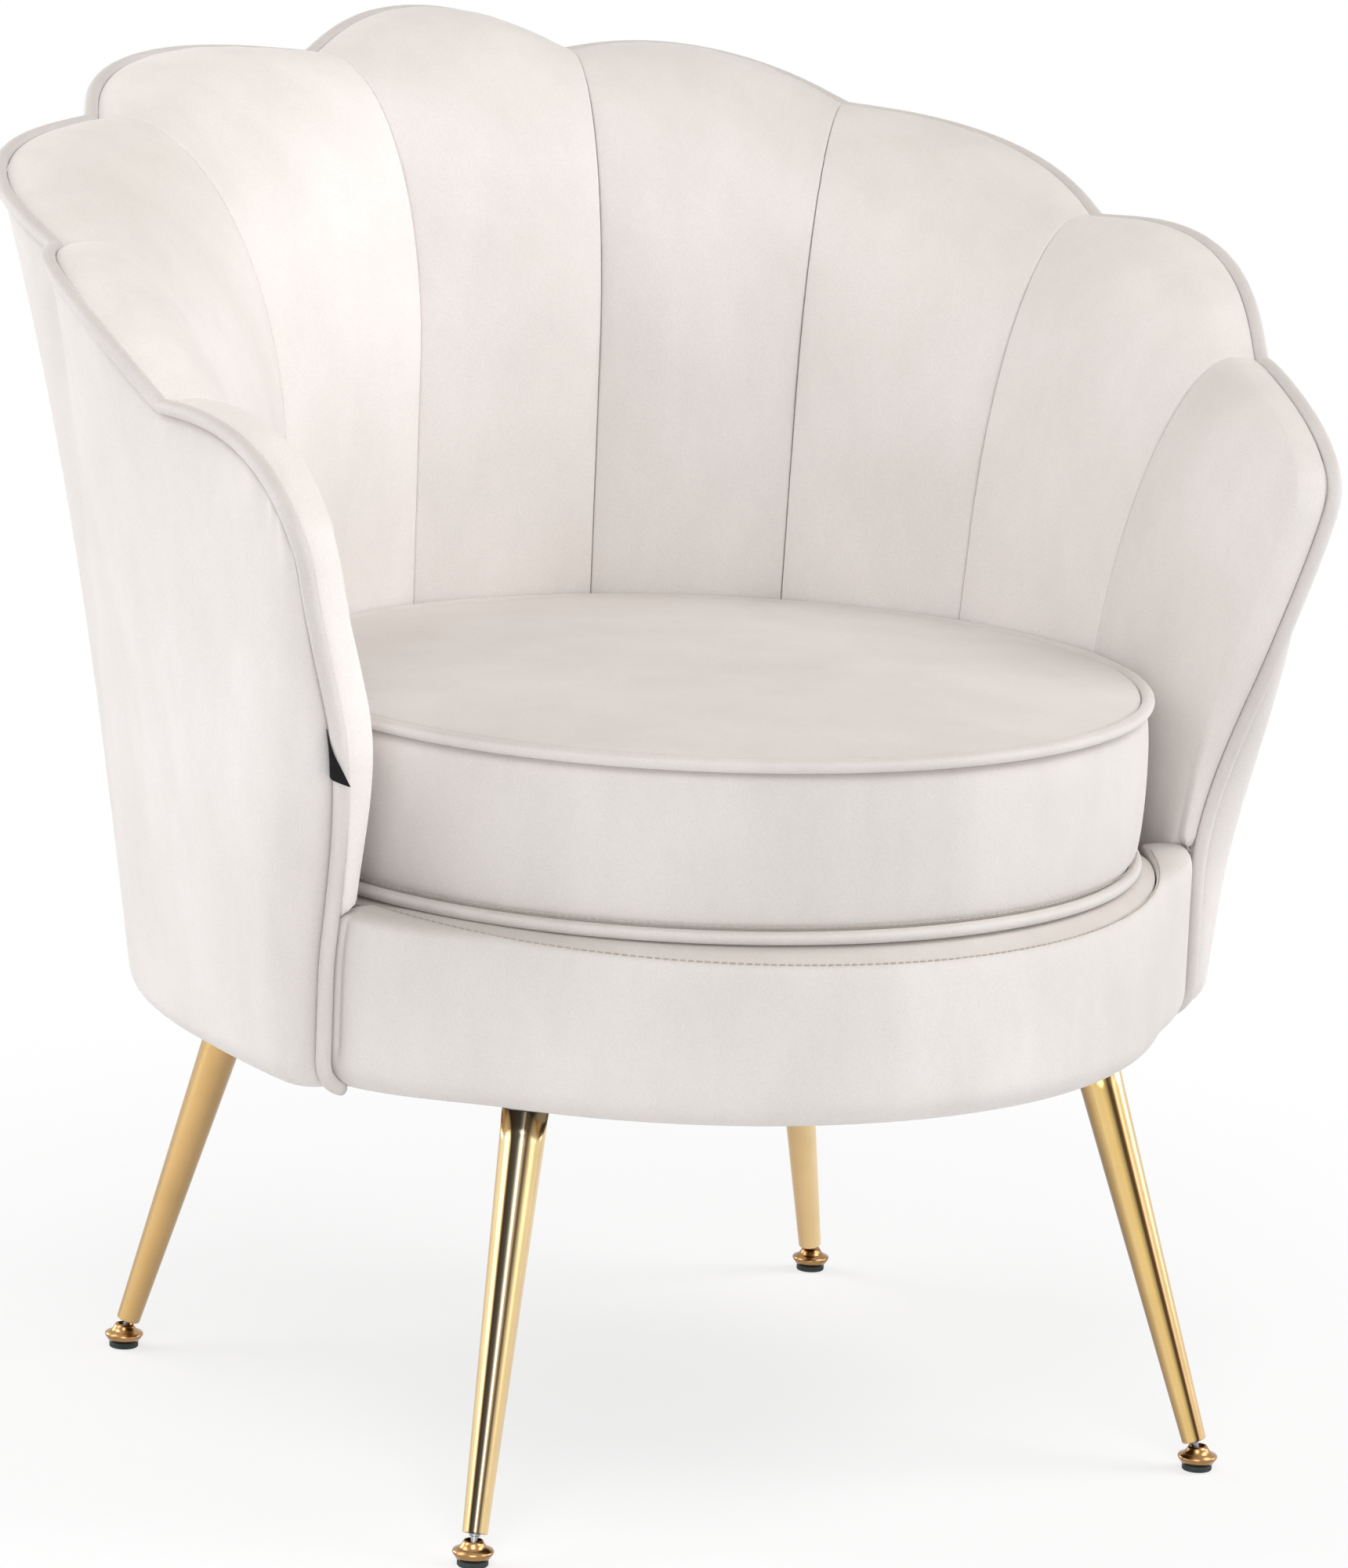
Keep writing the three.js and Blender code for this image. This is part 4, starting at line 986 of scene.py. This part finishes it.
def band_lines(share, side):
    """Outer and inner line of the band, from its seam over the shoulder and under the base."""
    arm = 1 - smooth(share, 0, BAND_FLARE)
    power = lerp(SHOULDER_POWER, ARM_SHOULDER_POWER, arm)
    seam = band_seam(share)
    wide = seam - lerp(BAND_SHOULDER, ARM_SHOULDER, arm)
    low = BASE_BOTTOM + BASE_CORNER
    foot = band_widest(share, low)

    def shoulder(inset, top):
        places = []
        for _, sine, cosine in quarter_turns(13)[-2::-1]:
            height = wide + (top - wide) * max(cosine, 0) ** (2 / power)
            reach = band_widest(share, height) - inset - BAND_SEAM
            places.append((BAND_SEAM + reach * sine ** (2 / power), height))
        return places

    fold = FOLD_DEPTH * exp(-(((share - FOLD_PLACE) / FOLD_WIDTH) ** 2))
    sides = [(band_widest(share, h), h) for h in spread(wide, low, 10)[1:-1]]
    outer = [(BAND_SEAM + out, seam - fall) for out, fall in BAND_RIM]
    outer += [(r - fold * smooth(seam - h, 0, 8), h) for r, h in shoulder(0, seam) + sides]
    outer += corner_places(foot, 0, BASE_BOTTOM)
    inner = [(BAND_SEAM, seam - 5.6 - 0.1 * i) for i in range(3)]
    inner += shoulder(BAND_THICKNESS, seam - 6) + [(r - BAND_THICKNESS, h) for r, h in sides]
    inner += corner_places(foot, BAND_THICKNESS, BASE_BOTTOM + WRAP)

    def angle_of(radius, height):
        end = arm_front_at(height) - degrees(BAND_BEHIND / radius)
        return side * lerp(end, 180, share)

    return spun(outer, angle_of), spun(inner, angle_of)


def build_band():
    lines = [band_lines(share, 1) for share in BAND_SHARES]
    lines += [band_lines(share, -1) for share in BAND_SHARES[-2::-1]]
    piece = closed_sheet("front_band_cover", lines, VELVET_SHADE)
    subdivide(piece)
    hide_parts("front_band")


# Seat
DECK_RADIUS, DECK_TOP, DECK_BOTTOM = 251.4, 337.4, 303.6
DECK_EDGE = 4.0  # its thickness at the rim
DECK_RIM = 334.0  # the rim's greatest height
DECK_GAP, DECK_DROP = 0.6, 1.0  # from the band's seam, inward and down
DECK_CLOTH_RADIUS = 212.0  # velvet further out


def deck_rim(angle):
    share = clamp((abs(angle) - ARM_FRONT_SEAT) / (180 - ARM_FRONT_SEAT))
    radius = lerp(DECK_RADIUS, BAND_SEAM - DECK_GAP, smooth(share, 0, 1 / 48))
    return radius, min(band_seam(share) - DECK_DROP, DECK_RIM)


def build_deck():
    lines = []
    for i in range(120):
        angle = 3 * i if i <= 60 else 3 * i - 360
        radius, height = deck_rim(angle)
        top, under = [], []
        for share in [0.02] + spread(0.08, 0.92, 22) + [0.95, 0.975, 0.99, 1.0]:
            level = DECK_TOP - (DECK_TOP - height) * smooth(share, 0.94, 1.0)
            top.append(polar(angle, radius * share, level))
            foot = level - DECK_EDGE if share > 0.96 else DECK_BOTTOM
            under.append(polar(angle, radius * share, foot))
        lines.append((top, under))
    piece = closed_sheet("deck_pad", lines, VELVET_SHADE, wrap=True)
    piece.data.materials.append(DECK_CLOTH)
    for face in piece.data.polygons:
        middle = face.center - Vector((0, SEAT_SHIFT / 1000, 0))
        if hypot(middle.x, middle.y) < DECK_CLOTH_RADIUS / 1000:
            face.material_index = 1
    subdivide(piece)
    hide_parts("seat_deck")


CUSHION_DOME, CUSHION_BULGE, CUSHION_TAPER = 9.0, 5.4, 2.4
WELT_DEPTH = 2.4  # from the cushion's faces to its pipings' middles
WELT_BED = 3.9  # from the pipings inward to the strip between them
STRIP_INSET = 5.4  # from the cushion's faces to that strip's ends


def cushion_taper(height):
    """How much the cushion's lower seam is drawn in by its cover."""
    return CUSHION_TAPER * clamp((CUSHION_TOP - height) / (CUSHION_TOP - CUSHION_BOTTOM))


def cushion_profile():
    seam = CUSHION_RADIUS - WELT_RADIUS - WELT_BED
    low, top = CUSHION_BOTTOM + STRIP_INSET, CUSHION_TOP - STRIP_INSET
    places = [(radius, CUSHION_BOTTOM) for radius in (0.0, 60, 140, 200, 225)]
    places += [(238, CUSHION_BOTTOM + 0.1), (seam - 1, CUSHION_BOTTOM + 0.8)]
    places += [(seam, CUSHION_BOTTOM + WELT_DEPTH), (seam, low)]
    for t in spread(0, 1, 21)[1:-1]:
        places.append((seam + 1.2 + CUSHION_BULGE * arch(t, 0.42), lerp(low, top, t)))
    places += [(seam, top), (seam, CUSHION_TOP - WELT_DEPTH), (seam - 1.4, CUSHION_TOP + 0.9)]
    for radius in spread(seam - 6, 0, 24):
        places.append((radius, CUSHION_TOP + CUSHION_DOME * (1 - (radius / seam) ** 2.6) ** 0.8))
    return [(r - cushion_taper(h) * smooth(r, 180, 230), h) for r, h in places]


def build_cushion():
    piece = lathe("cushion_cover", cushion_profile(), VELVET_SHADE, "cushion", 180)
    subdivide(piece)
    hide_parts("seat_cushion")
    heights = {"top": CUSHION_TOP - WELT_DEPTH, "bottom": CUSHION_BOTTOM + WELT_DEPTH}
    for name, height in heights.items():
        ring = CUSHION_RADIUS - WELT_RADIUS - cushion_taper(height)
        path = [polar(1.5 * i, ring, height) for i in range(240)]
        welt = tube("cushion_welt_" + name, path, WELT_RADIUS, VELVET_SHADE, "cushion", closed=True)
        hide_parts("cushion_piping_" + name)


# Stitches
COVER_RADIUS = 221.6  # of the dust cover
STITCH = (4.4, 3.2, 0.36)  # pitch, length and thickness
STAPLE = (24.0, 10.0, 0.45)
STITCH_SIDES = 6


def stitches(name, spot_at, first, last, radius, material, body="chair", kind=STITCH):
    """A line of short raised stitches, or of staples; spot_at gives a place for an angle."""
    pitch, length, thickness = kind
    count = round(radians(last - first) * radius / pitch)
    half = degrees(length / 2 / radius)
    up = Vector((0, 0, 1))
    points, faces = [], []
    for i in range(count):
        faces += ring_faces(len(points), 4, STITCH_SIDES)
        middle = lerp(first, last, (i + 0.5) / count)
        ends = [Vector(spot_at(middle + half * side)) for side in (-1, -0.8, 0.8, 1)]
        across = (ends[-1] - ends[0]).normalized().cross(up).normalized()
        for spot, share in zip(ends, (0.35, 1, 1, 0.35)):
            for k in range(STITCH_SIDES):
                a = 2 * pi * k / STITCH_SIDES
                out = cos(a) * across + sin(a) * up
                points.append(tuple(spot + share * thickness * out))
    mesh_object(name, points, faces, material, body)


def build_stitches():
    arm = arm_front_at(BAND_TOP)

    def cushion_spot(angle):
        return polar(angle, CUSHION_RADIUS - 5.6, CUSHION_BOTTOM + 8.3)

    def band_spot(angle):
        share = 1 - abs(180 - angle) / (180 - arm)
        return polar(angle, BAND_SEAM + 1.6, band_seam(share) - 0.2)

    def cover_spot(angle):
        return polar(angle, COVER_RADIUS - 5, BASE_BOTTOM - 0.35)

    stitches("cushion_stitches", cushion_spot, 0, 360, CUSHION_RADIUS, THREAD, "cushion")
    stitches("band_stitches", band_spot, arm + 3, 357 - arm, BAND_SEAM, THREAD)
    stitches("cover_staples", cover_spot, 0, 360, COVER_RADIUS, STEEL, kind=STAPLE)


# Tag
TAG_TOP, TAG_FOOT = 445.0, 414.0
TAG_OUT = 5.3  # from the arm's outer face
TAG_LEFT, TAG_RIGHT_TOP, TAG_RIGHT_FOOT = -5.4, -4.6, 8.8  # from the piping's middle
TAG_THICKNESS = 0.5


def build_tag():
    """A label sewn in beside the piping and folded over it, wider at its foot."""
    lines = []
    for down in spread(0.0, 1.0, 12):
        face, back = [], []
        for across in spread(0.0, 1.0, 10):
            aside = lerp(TAG_LEFT, lerp(TAG_RIGHT_TOP, TAG_RIGHT_FOOT, down), across)
            out = TAG_OUT - (0.1 if aside < 0 else 0.035) * aside ** 2
            out += 0.3 * sin(3 * down + 0.4 * aside)
            height = lerp(TAG_TOP, TAG_FOOT + 4.0 * (1 - across), down)
            for line, lift in ((face, 0.0), (back, -TAG_THICKNESS)):
                radius = outer_radius(ARM, 1, height) + out + lift
                angle = -arm_front_at(height) - degrees(aside / radius)
                line.append(polar(angle, radius, height))
        lines.append((face, back))
    piece = closed_sheet("seam_tag", lines, BLACK_CLOTH)
    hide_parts("side_tag")


# Legs and feet
BALL_HEIGHT = 9.0
LEG_CUT = 235.4
LEG_START, LEG_WALL = 8.0, 1.2
LEG_RADIUS_FOOT, LEG_RADIUS_TOP = 6.9, 12.8
LEGS = {  # (x, y) of the leg's top and foot
    "front_left": ((-180.5, -139), (-231, -192)),
    "front_right": ((180.5, -139), (231, -192)),
    "rear_left": ((-180.5, 208), (-234, 250)),
    "rear_right": ((180.5, 208), (234, 250)),
}
FOOT_CONE = [
    (0.0, 3.8), (8.9, 3.8), (10.9, 6.6), (11.25, 7.4), (11.25, 8.1), (10.8, 8.7), (8.4, 9.8),
    (7.2, 10.6), (6.1, 12.2), (5.2, 13.8), (4.6, 13.8), (4.3, 12.4), (0.0, 12.0),
]
FOOT_DISC = [(0, 0), (8.1, 0), (8.5, 0.5), (8.5, 3.0), (8.2, 3.5), (0, 3.5)]


def cut_level(leg, axis):
    """Slides a tube's top rings along its axis, to end level under the base."""
    points = [v.co for v in leg.data.vertices]
    top = max(p.dot(axis) for p in points)
    for point in points:
        if point.dot(axis) > top - 0.001:
            point += axis * ((LEG_CUT / 1000 - point.z) / axis.z)


def build_legs():
    for name, (top, foot) in LEGS.items():
        start = Vector((*foot, BALL_HEIGHT))
        axis = Vector((*top, LEG_CUT)) - start
        length = axis.length
        axis.normalize()
        lean = Vector((0, 0, 1)).rotation_difference(axis).to_matrix().to_4x4()

        def radius_at(along):
            share = (along - LEG_START) / (length - LEG_START)
            return lerp(LEG_RADIUS_FOOT, LEG_RADIUS_TOP, share)

        end = radius_at(LEG_START)
        profile = [(end - LEG_WALL, 9.2), (end - LEG_WALL, 8.3), (end - 0.3, 8), (end, 8.4)]
        profile += [(radius_at(a), a) for a in spread(9, length, 12)]
        profile += [(radius_at(a) - LEG_WALL, a) for a in spread(length, 9.2, 6)]
        turn = Matrix.Translation(start) @ lean
        leg = lathe("leg_tube_" + name, profile, GOLD[name], "chair", 72, turn)
        cut_level(leg, axis)
        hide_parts("leg_" + name)

        at = Matrix.Translation((*foot, 0))
        base = lathe("foot_cone_" + name, FOOT_CONE, BRASS, "foot_" + name, 64, at)
        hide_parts("foot_base_" + name)
        pad = lathe("foot_disc_" + name, FOOT_DISC, RUBBER, "foot_" + name, 48, at)
        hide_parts("foot_pad_" + name)


PLATE_BOTTOM, PLATE_INSET, HOLE_CIRCLE = 235.7, 12.0, 38.0
HIDDEN_RADIUS = 17.0  # of the leg's top, which covers some holes
SCREW = [
    (0, 2.9), (2.2, 2.9), (2.2, -0.1), (4.1, -0.1), (4.3, -0.7), (3.5, -1.8), (1.7, -2.2),
    (1.5, -1.1), (0, -1.1),
]


def build_screws():
    """Screws in the leg plates' holes, but for those that the legs' tops hide."""
    for name, (top, _) in LEGS.items():
        inward = -Vector(top).normalized() * PLATE_INSET
        for i in range(4):
            a = pi / 2 * (i + 0.5)
            hole = inward + Vector((cos(a), sin(a))) * HOLE_CIRCLE / 2
            if hole.length < HIDDEN_RADIUS:
                continue
            at = Matrix.Translation((top[0] + hole.x, top[1] + hole.y, PLATE_BOTTOM))
            lathe("plate_screw_%s_%d" % (name, i + 1), SCREW, STEEL, "chair", 24, at)


KEPT = {
    "seat_frame": WOOD, "inner_back_board": WOOD, "frame_rib": WOOD, "dust_cover": BLACK_CLOTH,
    "webbing": WEBBING, "leg_plate": STEEL, "leg_bush": STEEL, "foot_stem": STEEL,
}


def dress_frame():
    for name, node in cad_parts.items():
        for start, material in KEPT.items():
            if name.startswith(start):
                node.data.materials.clear()
                node.data.materials.append(material)


# Floor, light and camera
FLOOR_HALF, FLOOR_DROP = 6.0, 0.0005
LIT_NEAR, LIT_FAR = 0.35, 1.0  # metres from the middle, where the floor turns plain white
WHITE_NEAR = 0.72  # how far it has turned near the chair
WORLD_STRENGTH = 0.06


def build_floor():
    """Pale and lit near the chair, where it keeps the shadow, and plain white further out."""
    n = Surface("floor", Base_Color=(0.92, 0.92, 0.92, 1), Roughness=0.9, Specular_IOR_Level=0.1)
    length = n.node("VectorMath", operation="LENGTH")
    n.put(length.inputs[0], n.where)
    away = n.node("MapRange", interpolation_type="SMOOTHSTEP", From_Min=LIT_NEAR,
                  From_Max=LIT_FAR, To_Min=WHITE_NEAR, To_Max=1.0, Value=length.outputs["Value"])
    factor = n.math("MULTIPLY", away.outputs["Result"], n.seen_directly())
    n.show("Material Output", factor, n.shader, n.node("Emission"))
    corners = [(x * FLOOR_HALF, y * FLOOR_HALF, 0) for x, y in ((-1, -1), (1, -1), (1, 1), (-1, 1))]
    floor = new_object("floor", new_mesh("floor", corners, [(0, 1, 2, 3)]))
    floor.data.materials.append(n.material)
    floor.location.z = -FLOOR_DROP


def build_world():
    world = bpy.data.worlds.new("studio")
    world.use_nodes = True
    bpy.context.scene.world = world
    n = Nodes(world.node_tree)
    light = n.tree.nodes["Background"]
    light.inputs["Color"].default_value = WHITE
    light.inputs["Strength"].default_value = WORLD_STRENGTH
    white = n.node("Background", Color=WHITE, Strength=1.0)
    n.show("World Output", n.seen_directly(), light, white)


# Azimuth from the front towards +x, elevation, and watts, of soft round lamps about the chair.
LAMPS = [
    (60, 45, 46), (-150, 12, 38), (-30, 45, 38), (-120, 45, 31),
    (75, 12, 27), (-30, 12, 25), (-105, 12, 20), (30, 12, 11),
]
LAMP_AIM = (0, 0, 0.45)
LAMP_DISTANCE, LAMP_SIZE = 3.2, 1.8


def outward(azimuth, elevation):
    """Direction from the chair to a lamp or the camera, azimuth from the front towards +x."""
    a, e = radians(azimuth), radians(elevation)
    return Vector((sin(a) * cos(e), -cos(a) * cos(e), sin(e)))


def build_lamp(name, azimuth, elevation, power):
    data = bpy.data.lights.new(name, "AREA")
    data.shape, data.size, data.energy = "DISK", LAMP_SIZE, power
    lamp = new_object(name, data)
    away = outward(azimuth, elevation)
    lamp.location = Vector(LAMP_AIM) + LAMP_DISTANCE * away
    lamp.rotation_mode = "QUATERNION"
    lamp.rotation_quaternion = (-away).to_track_quat("-Z", "Y")


CAMERA_PLACE = (-1.8542, -3.3121, 1.1361)
CAMERA_AZIMUTH, CAMERA_ELEVATION, CAMERA_ROLL = -29.477, 11.548, 2.382
CAMERA_LENS = 155.54


def build_camera():
    back, roll = outward(CAMERA_AZIMUTH, CAMERA_ELEVATION), radians(CAMERA_ROLL)
    level = (-back).cross(Vector((0, 0, 1))).normalized()
    upright = level.cross(-back).normalized()
    right = level * cos(roll) + upright * sin(roll)
    up = upright * cos(roll) - level * sin(roll)
    data = bpy.data.cameras.new("camera")
    data.lens, data.sensor_width, data.sensor_fit = CAMERA_LENS, 36.0, "AUTO"
    camera = new_object("camera", data)
    camera.rotation_mode = "QUATERNION"
    camera.rotation_quaternion = Matrix((right, up, back)).transposed().to_quaternion()
    camera.location = CAMERA_PLACE
    bpy.context.scene.camera = camera


build_petals()
build_edge_piping()
build_panel()
build_band()
build_deck()
build_cushion()
build_stitches()
build_tag()
build_legs()
build_screws()
dress_frame()
build_floor()
build_world()
for number, (azimuth, elevation, power) in enumerate(LAMPS):
    build_lamp("softbox_%d" % (number + 1), azimuth, elevation, power)
build_camera()
bpy.context.scene.view_settings.view_transform = "Standard"
